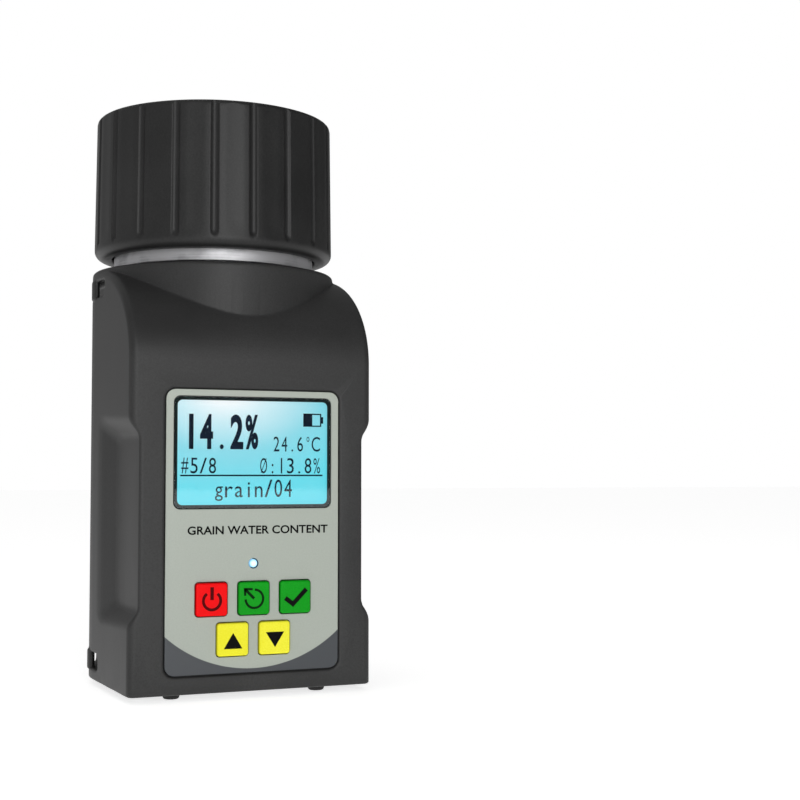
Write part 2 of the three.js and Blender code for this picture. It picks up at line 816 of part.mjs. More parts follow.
// The left cell stands with its positive end up and the right one with it down.
function batteryCell(side) {
  const nubRadius = 2.7;
  const chamfer = 0.7;
  const outline = [
    [0, 0],
    [cellRadius - chamfer, 0],
    [cellRadius, chamfer],
    [cellRadius, cellLength - cellNub - chamfer],
    [cellRadius - chamfer, cellLength - cellNub],
    [nubRadius, cellLength - cellNub],
    [nubRadius, cellLength],
    [0, cellLength],
  ];
  const up = outline.map(([r, z]) => [r, trayFloor + springAllowance + z]);
  const down = outline.map(([r, z]) => [r, trayFloor + plateAllowance + cellLength - z]);
  return turned(side < 0 ? up : down, 20, [side * cellX, cellY]);
}

function contactSpring(side) {
  const wire = 0.4;
  const low = side < 0 ? trayFloor : trayCeiling - springAllowance;
  const span = [low + seatGap + wire, low + springAllowance - seatGap - wire];
  return tube(new Helix(3.8, 2.5, span, [side * cellX, cellY]), wire, 24);
}

function contactPlate(side) {
  const thickness = plateAllowance - 2 * seatGap;
  const low = side < 0 ? trayCeiling - seatGap - thickness : trayFloor + seatGap;
  const x = side * cellX;
  return block([x - 4.5, x + 4.5], [cellY - 4, cellY + 3], [low, low + thickness]);
}

// A curved panel with a finger slot, and two hooks along its left edge that it turns on.
function batteryDoor() {
  const through = [0.5 * rearRadius, rearRadius + 2];
  const skin = ring(rearRadius - doorThickness, rearRadius, [doorLow - 1, doorHigh + 1], 96);
  const slotHeight = doorHigh - doorLow - 2 * doorSlotMargin;
  const slotAt = [doorHalf - doorSlotInset, (doorLow + doorHigh) / 2];
  const slot = centred(slotAt, doorSlotWidth, slotHeight, doorSlotWidth / 2 - 0.05);
  let door = skin.intersect(frontal(doorOutline(0), through, 6));
  door = door.subtract(frontal(slot, through, 6));
  const hookOuter = rearRadius - wall - 0.4;
  const hookInner = hookOuter - hookThickness;
  const root = 1.6 - doorHalf;
  const tip = -doorHalf - doorGap - hookReach;
  for (const low of [doorLow + hookInset, doorHigh - hookInset - hookHeight]) {
    const span = [low, low + hookHeight];
    const riser = ring(hookInner, rearRadius - doorThickness + 0.1, span, 96);
    const hook = ring(hookInner, hookOuter, span, 96);
    door = door.add(riser.intersect(block([-doorHalf, root], through, span)));
    door = door.add(hook.intersect(block([tip, root], through, span)));
  }
  return door;
}

function cellCup() {
  const hole = bushRadius + seatGap;
  const outline = [
    [hole, cupLow],
    [cupOuter, cupLow],
    [cupOuter, collarLow],
    [collarRadius, collarLow],
    [collarRadius, collarHigh],
    [cupOuter, collarHigh],
    [cupOuter, rim],
    [cupInner, rim],
    [cupInner, cupFloor],
    [hole, cupFloor],
  ];
  const ridgeTop = rim - threadBelowRim;
  const ridge = threadRidge(cupOuter - 0.6, cupOuter + threadCrest, ridgeTop, threadTurns);
  const sensorHole = post(sensorAt, sensorRadius + seatGap, [cupLow - 1, cupFloor + 1], 16);
  return turned(outline, 48).add(ridge).subtract(sensorHole);
}

// A bush that keeps the electrode's stud off the cup.
function cellInsulator() {
  const bore = studRadius + seatGap;
  const low = cupLow - 2;
  const flangeLow = cupFloor + seatGap;
  const high = flangeLow + bushFlangeHeight;
  const outline = [
    [bore, low],
    [bushRadius, low],
    [bushRadius, flangeLow],
    [bushRadius + bushFlange, flangeLow],
    [bushRadius + bushFlange, high],
    [bore, high],
  ];
  return turned(outline, 20);
}

function centreElectrode() {
  const stud = cupLow - studLength;
  const low = cupFloor + 2 * seatGap + bushFlangeHeight;
  const high = plateTop - plateThickness - electrodeBelowPlate;
  const outline = [
    [0, stud],
    [studRadius, stud],
    [studRadius, low],
    [electrodeRadius, low],
    [electrodeRadius, high - 5],
    [0.82 * electrodeRadius, high - 2],
    [0.45 * electrodeRadius, high - 0.4],
    [0, high],
  ];
  return turned(outline, 24);
}

function electrodeNut() {
  const top = cupLow - 2 - seatGap;
  const thread = post([0, 0], studRadius + seatGap, [top - nutHeight - 1, top + 1], 32);
  return post([0, 0], nutRadius, [top - nutHeight, top], 6).subtract(thread);
}

function temperatureSensor() {
  const low = cupLow - 4;
  const tip = cupFloor + sensorHeight;
  const outline = [
    [0, low],
    [sensorRadius, low],
    [sensorRadius, tip - 1],
    [0.6 * sensorRadius, tip],
    [0, tip],
  ];
  return turned(outline, 16, sensorAt);
}

function ringNut() {
  const inner = cupOuter + seatGap;
  const top = bodyHeight - topWall - seatGap;
  return ring(inner, inner + ringNutWidth, [top - ringNutHeight, top]);
}

// The cap: a grooved skirt with the thread inside, and a boss that houses the spring and its seat.
function capShell() {
  const roof = capHigh - capTop;
  const seat = capHigh - seatBelowTop;
  const boss = roof - bossHeight;
  const roundSteps = 3;
  const bottomRound = Array.from({ length: roundSteps + 1 }, (_, i) => {
    const angle = (Math.PI / 2) * (i / roundSteps);
    return [
      capRadius - capBottomRound * (1 - Math.sin(angle)),
      capLow + capBottomRound * (1 - Math.cos(angle)),
    ];
  });
  const outline = [
    [capBore, capLow],
    ...bottomRound,
    [capTopRadius, capHigh - 2],
    [capTopRadius - 0.6, capHigh - 0.6],
    [capTopRadius - 2, capHigh],
    [stemHole, capHigh],
    [stemHole, capHigh - clipRoof],
    [clipRadius + clipRoom, capHigh - clipRoof],
    [clipRadius + clipRoom, seat],
    [bossBore, seat],
    [bossBore, boss],
    [bossRadius, boss],
    [bossRadius, roof],
    [capBore, roof],
  ];
  let cap = turned(outline, 60);
  const reach = capRadius - grooveDepth + grooveRadius;
  for (let i = 0; i < capGrooves; i++) {
    const at = aroundCup(1, (360 / capGrooves) * i + grooveTurn, reach);
    cap = cap.subtract(post(at, grooveRadius, [capLow + grooveLip, capHigh + 1], 8));
  }
  const ridgeTop = rim - threadBelowRim - threadPitch / 2;
  const crest = capBore - capThreadReach;
  return cap.add(threadRidge(capBore + 0.8, crest, ridgeTop, threadTurns - 0.4));
}

function pressurePlate() {
  const socket = stemRadius + seatGap;
  const low = plateTop - plateThickness;
  const hubTop = plateTop + hubHeight;
  const outline = [
    [0, low],
    [plateRadius - 0.8, low],
    [plateRadius, low + 0.8],
    [plateRadius, plateTop],
    [plateHub, plateTop],
    [plateHub, hubTop],
    [socket, hubTop],
    [socket, plateTop - plateThickness / 2],
    [0, plateTop - plateThickness / 2],
  ];
  return turned(outline, 32);
}

function plungerStem() {
  const low = plateTop - plateThickness / 2 + seatGap;
  const chamfer = 0.6;
  const outline = [
    [0, low],
    [stemRadius, low],
    [stemRadius, stemTop - chamfer],
    [stemRadius - chamfer, stemTop],
    [0, stemTop],
  ];
  return turned(outline, 32);
}

function stemClip() {
  const low = seatTop + seatGap;
  return ring(stemRadius + seatGap, clipRadius, [low, low + clipThickness]);
}

function pressureSpring() {
  const span = [plateTop + seatGap + springWire, seatLow - seatGap - springWire];
  return tube(new Helix(springRadius, springTurns, span), springWire, 10 * springTurns);
}

const finishes = {
  housing: { color: 0x3d3d3d, roughness: 0.6, metalness: 0 },
  cap: { color: 0x303030, roughness: 0.55, metalness: 0 },
  label: { color: 0xa9afa6, roughness: 0.5, metalness: 0 },
  pane: { color: 0x66e0f0, roughness: 0.15, metalness: 0 },
  redKey: { color: 0xe01818, roughness: 0.4, metalness: 0 },
  greenKey: { color: 0x00a010, roughness: 0.4, metalness: 0 },
  yellowKey: { color: 0xf6ef2c, roughness: 0.4, metalness: 0 },
  lamp: { color: 0xb8dcee, roughness: 0.2, metalness: 0 },
  aluminium: { color: 0xb4b4b6, roughness: 0.35, metalness: 1 },
  steel: { color: 0x9a9c9f, roughness: 0.3, metalness: 1 },
  brass: { color: 0xb59a52, roughness: 0.35, metalness: 1 },
  rubber: { color: 0x202020, roughness: 0.85, metalness: 0 },
  acetal: { color: 0xe4e2dc, roughness: 0.45, metalness: 0 },
  circuit: { color: 0x1d5a34, roughness: 0.5, metalness: 0 },
  innerPlastic: { color: 0x232323, roughness: 0.6, metalness: 0 },
  cellSleeve: { color: 0x2c5a8c, roughness: 0.4, metalness: 0 },
  redLead: { color: 0xb02020, roughness: 0.5, metalness: 0 },
};

const meter = new THREE.Group();

function add(name, solid, finish) {
  const material = new THREE.MeshStandardMaterial(finishes[finish]);
  const mesh = new THREE.Mesh(geometryOf(solid), material);
  mesh.name = name;
  meter.add(mesh);
}

add("main_housing", mainHousing(), "housing");
add("base_cover", baseCover(), "housing");
for (const one of feet) add(`foot_${one.name}`, foot(one), "rubber");
for (const one of screwPosts) add(`base_screw_${one.name}`, baseScrew(one), "steel");

add("front_overlay", frontOverlay(), "label");
const pane = rectangle([-windowHalfWidth, windowHalfWidth], [windowLow, windowHigh], 0.6);
add("display_window", frontal(pane, [labelFace, labelFace + labelThickness], 3), "pane");
add("display_frame", displayFrame(), "steel");
add("display_glass", displayLayer(seatGap, glassThickness), "pane");
const behindGlass = 2 * seatGap + glassThickness;
add("display_backlight", displayLayer(behindGlass, backlightThickness), "acetal");
add("status_lamp", statusLamp(), "lamp");
for (const key of keys) {
  add(`key_${key.name}`, keyCap(key), key.finish);
  add(`switch_${key.name}`, tactSwitch(key), "innerPlastic");
}
add("main_board", mainBoard(), "circuit");
for (const one of boardPosts) add(`board_screw_${one.name}`, boardScrew(one), "steel");

add("battery_tray", batteryTray(), "innerPlastic");
for (const side of [-1, 1]) {
  const name = sideNames[side];
  add(`battery_cell_${name}`, batteryCell(side), "cellSleeve");
  add(`contact_spring_${name}`, contactSpring(side), "steel");
  add(`contact_plate_${name}`, contactPlate(side), "steel");
}
add("battery_door", batteryDoor(), "housing");

add("cell_cup", cellCup(), "aluminium");
add("cell_insulator", cellInsulator(), "acetal");
add("centre_electrode", centreElectrode(), "aluminium");
add("electrode_nut", electrodeNut(), "brass");
add("temperature_sensor", temperatureSensor(), "steel");
add("cup_ring_nut", ringNut(), "aluminium");
const gasketSpan = [bodyHeight + seatGap, bodyHeight + seatGap + gasketThickness];
add("neck_gasket", ring(cupOuter + seatGap, collarRadius - 0.2, gasketSpan), "rubber");

const boardLeadEnd = boardBack + 2 * seatGap;
add("electrode_lead", lead([
  [0, -nutRadius - 1, cupLow - 4],
  [2, -16, cupLow - 7],
  [6, -30, cupLow - 8],
  [10, boardLeadEnd, cupLow - 4],
]), "redLead");
for (const side of [-1, 1]) {
  const finish = side < 0 ? "redLead" : "innerPlastic";
  add(side < 0 ? "battery_lead_positive" : "battery_lead_negative", lead([
    [side * 6, trayFront - 0.3, trayFloor + 6],
    [side * 9, trayFront - 10, trayFloor + 8],
    [side * 12, boardBack + 12, trayFloor + 22],
    [side * 14, boardLeadEnd, trayFloor + 28],
  ]), finish);
}

add("cap_shell", capShell(), "cap");
add("spring_seat", ring(stemHole, bossBore - slipGap, [seatLow, seatTop]), "acetal");
add("pressure_spring", pressureSpring(), "steel");
add("pressure_plate", pressurePlate(), "innerPlastic");
add("plunger_stem", plungerStem(), "brass");
add("stem_clip", stemClip(), "steel");

const frontReach = -keyFace;
meter.position.set(0, (frontReach - rearRadius) / 2, footHeight);

export default meter;
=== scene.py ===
import math

import bpy
import numpy as np
import openvdb
from mathutils import Euler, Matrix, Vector


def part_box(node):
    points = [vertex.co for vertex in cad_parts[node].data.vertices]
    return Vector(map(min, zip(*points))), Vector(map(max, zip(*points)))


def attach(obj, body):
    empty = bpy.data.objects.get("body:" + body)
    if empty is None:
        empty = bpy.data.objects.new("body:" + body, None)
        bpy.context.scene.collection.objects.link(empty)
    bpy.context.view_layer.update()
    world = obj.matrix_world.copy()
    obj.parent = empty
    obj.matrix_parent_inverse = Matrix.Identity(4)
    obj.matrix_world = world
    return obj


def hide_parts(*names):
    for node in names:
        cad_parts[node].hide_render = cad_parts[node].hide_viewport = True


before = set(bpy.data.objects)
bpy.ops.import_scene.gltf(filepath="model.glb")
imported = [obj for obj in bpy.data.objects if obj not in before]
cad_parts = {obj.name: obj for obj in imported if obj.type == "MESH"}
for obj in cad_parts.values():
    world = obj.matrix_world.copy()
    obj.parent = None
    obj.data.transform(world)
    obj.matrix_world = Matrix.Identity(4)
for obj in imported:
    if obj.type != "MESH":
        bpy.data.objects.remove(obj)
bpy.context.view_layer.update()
mm = 0.001

gasketLow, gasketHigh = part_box("neck_gasket")
axisY = (gasketLow[1] + gasketHigh[1]) / 2  # the gasket is a plain ring about the cup's axis
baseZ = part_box("main_housing")[0][2]


def boxOf(node):  # a node's lowest and highest corner in the drawing's millimetres
    return [[c[0] / mm, (c[1] - axisY) / mm, (c[2] - baseZ) / mm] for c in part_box(node)]


shellLow, shellHigh = boxOf("main_housing")
labelLow, labelHigh = boxOf("front_overlay")
paneLow, paneHigh = boxOf("display_window")
capLow, capHigh = boxOf("cap_shell")
cupLow, cupHigh = boxOf("cell_cup")
rearRadius = shellHigh[1]
frontY = shellLow[1]
topZ = shellHigh[2]


def colour(code):  # sRGB hex to linear RGBA
    parts = [int(code[i:i + 2], 16) / 255 for i in (1, 3, 5)]
    return [p / 12.92 if p <= 0.04045 else ((p + 0.055) / 1.055) ** 2.4 for p in parts] + [1]


def addNode(tree, kind, inputs, **settings):
    node = tree.nodes.new(kind)
    for key, value in settings.items():
        setattr(node, key, value)
    for key, value in inputs.items():
        socket = node.inputs[key]
        if isinstance(value, bpy.types.NodeSocket):
            tree.links.new(value, socket)
        else:
            socket.default_value = value
    return node


def newMaterial(name, **shader):  # a Principled shader; its sockets are given with _ for a space
    material = bpy.data.materials.new(name)
    material.use_nodes = True
    tree = material.node_tree
    tree.nodes.clear()
    inputs = {key.replace("_", " "): value for key, value in shader.items()}
    surface = addNode(tree, "ShaderNodeBsdfPrincipled", inputs)
    addNode(tree, "ShaderNodeOutputMaterial", {"Surface": surface.outputs[0]})
    place = addNode(tree, "ShaderNodeTexCoord", {}).outputs["Object"]
    return material, tree, surface, place


def mouldedPlastic(name, body, light, roughness, grain, depth, ior=1.5):
    # moulded plastic: a fine eroded grain breaks the gloss, and faint clouds show handling
    material, tree, surface, place = newMaterial(name, IOR=ior)
    pits = addNode(tree, "ShaderNodeTexNoise", {"Vector": place, "Scale": 1 / (grain * mm), "Detail": 3})
    cloud = addNode(tree, "ShaderNodeTexNoise", {"Vector": place, "Scale": 1 / (28 * mm), "Detail": 2})
    blend = addNode(tree, "ShaderNodeMath", {0: pits.outputs[0], 1: cloud.outputs[0]}, operation="MULTIPLY")
    ramp = addNode(tree, "ShaderNodeValToRGB", {"Fac": blend.outputs[0]})
    ramp.color_ramp.elements[0].position = 0.15
    ramp.color_ramp.elements[0].color = colour(body)
    ramp.color_ramp.elements[1].position = 0.38
    ramp.color_ramp.elements[1].color = colour(light)
    gloss = addNode(
        tree,
        "ShaderNodeMapRange",
        {"Value": cloud.outputs[0], "To Min": roughness - 0.05, "To Max": roughness + 0.05},
    )
    bump = addNode(
        tree, "ShaderNodeBump", {"Height": pits.outputs[0], "Distance": depth * mm, "Strength": 0.6}
    )
    tree.links.new(ramp.outputs[0], surface.inputs["Base Color"])
    tree.links.new(gloss.outputs[0], surface.inputs["Roughness"])
    tree.links.new(bump.outputs[0], surface.inputs["Normal"])
    return material


def turnedMetal(name, dark, bright, roughness, pitch, depth):
    # metal turned on a lathe: fine rings round the axis spread the highlight up and down
    material, tree, surface, place = newMaterial(name, Metallic=1)
    split = addNode(tree, "ShaderNodeSeparateXYZ", {"Vector": place})
    rings = addNode(
        tree,
        "ShaderNodeTexNoise",
        {"W": split.outputs["Z"], "Scale": 1 / (pitch * mm), "Detail": 4, "Roughness": 0.7},
        noise_dimensions="1D",
    )
    stain = addNode(tree, "ShaderNodeTexNoise", {"Vector": place, "Scale": 1 / (9 * mm), "Detail": 3})
    blend = addNode(tree, "ShaderNodeMath", {0: rings.outputs[0], 1: stain.outputs[0]}, operation="ADD")
    ramp = addNode(tree, "ShaderNodeValToRGB", {"Fac": blend.outputs[0]})
    ramp.color_ramp.elements[0].position = 0.75
    ramp.color_ramp.elements[0].color = colour(dark)
    ramp.color_ramp.elements[1].position = 1
    ramp.color_ramp.elements[1].color = colour(bright)
    gloss = addNode(
        tree,
        "ShaderNodeMapRange",
        {"Value": rings.outputs[0], "To Min": roughness - 0.08, "To Max": roughness + 0.12},
    )
    bump = addNode(
        tree, "ShaderNodeBump", {"Height": rings.outputs[0], "Distance": depth * mm, "Strength": 0.5}
    )
    tree.links.new(ramp.outputs[0], surface.inputs["Base Color"])
    tree.links.new(gloss.outputs[0], surface.inputs["Roughness"])
    tree.links.new(bump.outputs[0], surface.inputs["Normal"])
    return material


# Grains finer than the render shows are drawn at about twice their real size.
# charcoal case: a dull, even grain that softens every highlight
housingAbs = mouldedPlastic("abs_spark_eroded_charcoal", "#242424", "#2d2d2d", 0.52, 0.5, 0.03, ior=1.4)
# cap: darker and a little glossier than the case, so the grooves catch thin lines
capNylon = mouldedPlastic("nylon_moulded_satin_black", "#191919", "#222222", 0.46, 0.6, 0.02, ior=1.38)
# inner mouldings: plain and smoother than the outside
innerAbs = mouldedPlastic("abs_moulded_plain_black", "#191919", "#222222", 0.45, 0.8, 0.02)
# machined plastic: milky, with soft edges to its shine
acetal = mouldedPlastic("acetal_machined_white", "#d9d6ce", "#e6e4dd", 0.4, 0.7, 0.01)
# shrink sleeve: glossy, with broad waves where it drew tight
sleeve = mouldedPlastic("pvc_shrink_sleeve_blue", "#1f4773", "#2f6096", 0.35, 2.0, 0.02)
# lead insulation: smooth and slightly waxy
redLead = mouldedPlastic("pvc_lead_red", "#8c1414", "#a81c1c", 0.4, 0.6, 0.01)
blackLead = mouldedPlastic("pvc_lead_black", "#151515", "#1f1f1f", 0.4, 0.6, 0.01)
# feet: fully matt, so they read as rubber under the case
rubber = mouldedPlastic("rubber_moulded_matt", "#171717", "#212121", 0.8, 0.7, 0.05)
# key lacquer: strong flat colour with a fine skin
keyRed = mouldedPlastic("silicone_lacquered_red", "#e80006", "#f00208", 0.34, 0.5, 0.008, ior=1.2)
keyGreen = mouldedPlastic("silicone_lacquered_green", "#078c14", "#0a9a1a", 0.34, 0.5, 0.008, ior=1.2)
keyYellow = mouldedPlastic("silicone_lacquered_yellow", "#e8e22a", "#f0ec44", 0.34, 0.5, 0.008, ior=1.2)
# printed ink: no shine of its own against the key
symbolInk = mouldedPlastic("screen_ink_black", "#060606", "#0c0c0c", 0.6, 0.4, 0.005, ior=1.15)
# collar and cup: pale bands that follow the turning
aluminium = turnedMetal("aluminium_turned_brushed", "#959597", "#bcbcbe", 0.52, 0.35, 0.012)
# plated screws and springs: cooler and brighter than the collar
steel = turnedMetal("steel_zinc_plated", "#7d8084", "#a9acb0", 0.3, 0.4, 0.01)
# stem: warm turned rings
brass = turnedMetal("brass_turned", "#8f7432", "#c6a556", 0.28, 0.3, 0.01)
print("materials made")


def toFrame(points):  # drawing millimetres to the frame's metres
    return np.asarray(points, dtype=float) * mm + np.array([0, axisY, baseZ])


def makePiece(name, points, faces, material, body, node=None, slot=None, sharp=32):
    mesh = bpy.data.meshes.new(name)
    mesh.from_pydata(toFrame(points).tolist(), [], [list(map(int, f)) for f in faces])
    mesh.validate()
    mesh.polygons.foreach_set("use_smooth", [True] * len(mesh.polygons))
    mesh.set_sharp_from_angle(angle=math.radians(sharp))
    piece = bpy.data.objects.new(name, mesh)
    bpy.context.scene.collection.objects.link(piece)
    mesh.materials.append(material)
    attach(piece, body)
    if node:
        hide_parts(node)
    return piece


def joined(*parts):  # several (points, faces) pairs as one
    points, faces, start = [], [], 0
    for p, f in parts:
        points.extend([tuple(q) for q in p])
        faces.extend([[start + i for i in face] for face in f])
        start += len(p)
    return points, faces


def rounded(corners, steps=5):  # an outline with each corner (u, v, radius) turned into an arc
    made = []
    count = len(corners)
    for i, (u, v, *radius) in enumerate(corners):
        radius = radius[0] if radius else 0
        if not radius:
            made.append((u, v))
            continue
        here = np.array([u, v])
        back = np.array(corners[i - 1][:2]) - here
        on = np.array(corners[(i + 1) % count][:2]) - here
        back, on = back / np.linalg.norm(back), on / np.linalg.norm(on)
        half = math.acos(np.clip(back @ on, -1, 1)) / 2
        middle = back + on
        centre = here + middle / np.linalg.norm(middle) * radius / math.sin(half)
        first = here + back * radius / math.tan(half) - centre
        last = here + on * radius / math.tan(half) - centre
        start = math.atan2(first[1], first[0])
        sweep = (math.atan2(last[1], last[0]) - start + math.pi) % (2 * math.pi) - math.pi
        for k in range(steps + 1):
            a = start + sweep * k / steps
            made.append((centre[0] + radius * math.cos(a), centre[1] + radius * math.sin(a)))
    return made


def revolved(outline, steps=96, centre=(0, 0), radiusAt=None, angles=None):
    # turns an outline of (radius, z) about an upright axis; it closes on itself or on the axis
    if angles is None:
        angles = np.arange(steps) * 2 * math.pi / steps
    steps = len(angles)
    area = sum(a[0] * b[1] - b[0] * a[1] for a, b in zip(outline, outline[1:] + outline[:1]))
    if area < 0:
        outline = outline[::-1]
    points, rows = [], []
    for r, z in outline:
        if r < 1e-6:
            rows.append([len(points)] * steps)
            points.append((centre[0], centre[1], z))
            continue
        rows.append(list(range(len(points), len(points) + steps)))
        for a in angles:
            far = radiusAt(r, z, a) if radiusAt else r
            points.append((centre[0] + far * math.cos(a), centre[1] + far * math.sin(a), z))
    faces = []
    for low, high in zip(rows, rows[1:] + rows[:1]):
        if low[0] == low[1 % steps] and high[0] == high[1 % steps]:
            continue
        for j in range(steps):
            k = (j + 1) % steps
            ring = [low[j], low[k], high[k], high[j]]
            face = [v for i, v in enumerate(ring) if v != ring[i - 1]]
            faces.append(face)
    return points, faces


def plate(outline, holes, back, front, edge=0.0, steps=3):
    # a flat plate seen from the front, with holes and eased edges
    data = bpy.data.curves.new("plate", "CURVE")
    data.dimensions = "2D"
    data.fill_mode = "BOTH"
    for loop in [outline, *holes]:
        spline = data.splines.new("POLY")
        spline.points.add(len(loop) - 1)
        for point, (u, v) in zip(spline.points, loop):
            point.co = (u, v, 0, 1)
        spline.use_cyclic_u = True
    data.extrude = (back - front) / 2 - edge
    data.bevel_depth = edge
    data.bevel_resolution = steps
    data.offset = -edge
    holder = bpy.data.objects.new("plate", data)
    bpy.context.scene.collection.objects.link(holder)
    bpy.context.view_layer.update()
    mesh = bpy.data.meshes.new_from_object(holder.evaluated_get(bpy.context.evaluated_depsgraph_get()))
    middle = (back + front) / 2
    points = [(v.co.x, middle - v.co.z, v.co.y) for v in mesh.vertices]
    faces = [list(p.vertices) for p in mesh.polygons]
    bpy.data.objects.remove(holder)
    bpy.data.curves.remove(data)
    bpy.data.meshes.remove(mesh)
    return points, faces


def box2d(x0, x1, z0, z1, radius, steps=6):
    corners = [(x0, z0, radius), (x1, z0, radius), (x1, z1, radius), (x0, z1, radius)]
    return rounded(corners, steps=steps)


def roundMax(a, b, radius):  # what is inside both, with the edge between them rounded
    corner = np.hypot(np.maximum(a + radius, 0), np.maximum(b + radius, 0))
    return np.minimum(np.maximum(a, b), -radius) + corner


def rectField(u, v, halfU, halfV, radius):
    du, dv = np.abs(u) - halfU + radius, np.abs(v) - halfV + radius
    outside = np.hypot(np.maximum(du, 0), np.maximum(dv, 0))
    return outside + np.minimum(np.maximum(du, dv), 0) - radius


def ellipseField(u, v, a, b):
    near = np.hypot(u / a, v / b)
    slope = np.hypot(u / a**2, v / b**2) + 1e-6
    return near * (near - 1) / slope


def gridFor(low, high, voxel):
    axes = [np.arange(a, b + voxel, voxel, dtype=np.float32) for a, b in zip(low, high)]
    return axes[0][:, None, None], axes[1][None, :, None], axes[2][None, None, :]


def meshOf(field, low, voxel, keep):  # a field's zero surface, thinned where it is flat
    grid = openvdb.FloatGrid()
    grid.background = 3.0
    grid.copyFromArray(np.clip(field / voxel, -3, 3).astype(np.float32))
    grid.gridClass = openvdb.GridClass.LEVEL_SET
    spots, quads = grid.convertToQuads(0.0)
    mesh = bpy.data.meshes.new("field")
    mesh.from_pydata((spots * voxel + np.array(low)).tolist(), [], quads[:, ::-1].tolist())
    holder = bpy.data.objects.new("field", mesh)
    bpy.context.scene.collection.objects.link(holder)
    thin = holder.modifiers.new("thin", "DECIMATE")
    thin.ratio = keep
    bpy.context.view_layer.update()
    fine = bpy.data.meshes.new_from_object(holder.evaluated_get(bpy.context.evaluated_depsgraph_get()))
    points = [tuple(v.co) for v in fine.vertices]
    faces = [list(p.vertices) for p in fine.polygons]
    bpy.data.objects.remove(holder)
    bpy.data.meshes.remove(mesh)
    bpy.data.meshes.remove(fine)
    return points, faces


housing = dict(
    voxel=0.5,
    keep=0.2,
    frontTaper=1.4,  # the front corners stand this much inside the round back
    corner=2.4,
    topEdge=1.2,
    shoulderDepth=50.8,  # half axes of the shoulder's quarter ellipse
    shoulderDrop=34.5,
    wall=2.6,
    recess=1.2,
    gap=0.35,
    labelCorner=3.2,
    postRadius=4.2,
    postSpan=(5.8, 16.8),
    postInset=5.8,
    postBehindFront=8.5,
    neckHole=34.5,
    neckDepth=6,
    rearPostAngle=57,
)
grip = dict(depth=3.2, low=27.7, high=85.1, ramp=4.5 / 3.2, backRamp=9 / 3.2, length=28.4, ease=0.9)
strap = dict(
    height=5.6,
    depth=4.6,
    scoop=60,
    slots=[(topZ - 9.8, 6, 3), (3.9, 10.5, 7.5)],  # low edge, scoop's angle, bridge's angle
    bridge=(1.3, 3.2),
    proud=0.7,
    skin=1.5,
)
door = dict(
    voxel=0.35,
    keep=0.35,
    half=16.2,
    thickness=2.2,
    corner=2,
    gap=0.35,
    ease=0.3,
    slotX=12,
    slotHalf=(1.05, 18),
    hookRoot=1.6,  # how far a hook's root reaches in from the door's edge
    hookTip=1.9,  # how far its tip reaches out
    hookRadii=(39.4, 40.7, 41.6),  # the hook's inside and outside, and the top of its riser
    hookHalf=2.5,
    hookLevels=(11.5, 11.5),  # from the door's lower and upper edge to a hook's middle
)
notchRadii = (4, 2.6, 7.9)
notchProud = 0.9  # the fingernail notch is centred this far outside the wall

doorBottom, doorTop = boxOf("battery_door")[0][2], boxOf("battery_door")[1][2]
doorMiddle, doorHalfHeight = (doorBottom + doorTop) / 2, (doorTop - doorBottom) / 2
keyNodes = ["key_power", "key_return", "key_accept", "key_up", "key_down"]
keyFlange = 1
keyBoxes = {}
for keyNode in keyNodes:
    (x0, y0, z0), (x1, y1, z1) = boxOf(keyNode)
    keyBoxes[keyNode] = (x0 + keyFlange, x1 - keyFlange, z0, z1, y0, y1)
(_, lampFront, lampLow), (_, lampBack, lampHigh) = boxOf("status_lamp")
lampZ = (lampLow + lampHigh) / 2
lampRadius = 1.4


def aroundCup(side, degrees, radius):
    angle = math.radians(degrees)
    return side * radius * math.cos(angle), radius * math.sin(angle)


def bodyField(x, y, z):  # tapered plan, round back, elliptical shoulder and cup column
    halfWidth = rearRadius - housing["frontTaper"]
    touch = math.acos(rearRadius / math.hypot(halfWidth, frontY)) + math.atan2(frontY, halfWidth)
    far = np.hypot(x, y)
    flat = np.abs(x) * math.cos(touch) + y * math.sin(touch) - rearRadius
    sides = np.where(np.arctan2(y, np.abs(x)) > touch, far - rearRadius, flat)
    centreY = frontY + housing["shoulderDepth"]
    centreZ = topZ - housing["shoulderDrop"]
    curve = ellipseField(y - centreY, z - centreZ, housing["shoulderDepth"], housing["shoulderDrop"])
    straight = np.maximum(frontY - y, z - topZ)
    shoulder = np.where((y < centreY) & (z > centreZ), curve, straight)
    column = roundMax(far - rearRadius + 0.05, z - topZ, housing["topEdge"])
    return np.minimum(roundMax(sides, shoulder, housing["corner"]), column)


def gripField(x, y, z):  # the space of the grip recesses in both sides
    out = np.abs(x) - (rearRadius - housing["frontTaper"] - grip["depth"])
    ramp, back = grip["ramp"], grip["backRamp"]
    ends = np.maximum(z - grip["high"], grip["low"] - z)
    ends = (ends - ramp * out) / math.hypot(1, ramp)
    rear = (y - frontY - grip["length"] - back * out) / math.hypot(1, back)
    space = roundMax(ends, rear, 2.0)
    return roundMax(space, -out, 0.8)


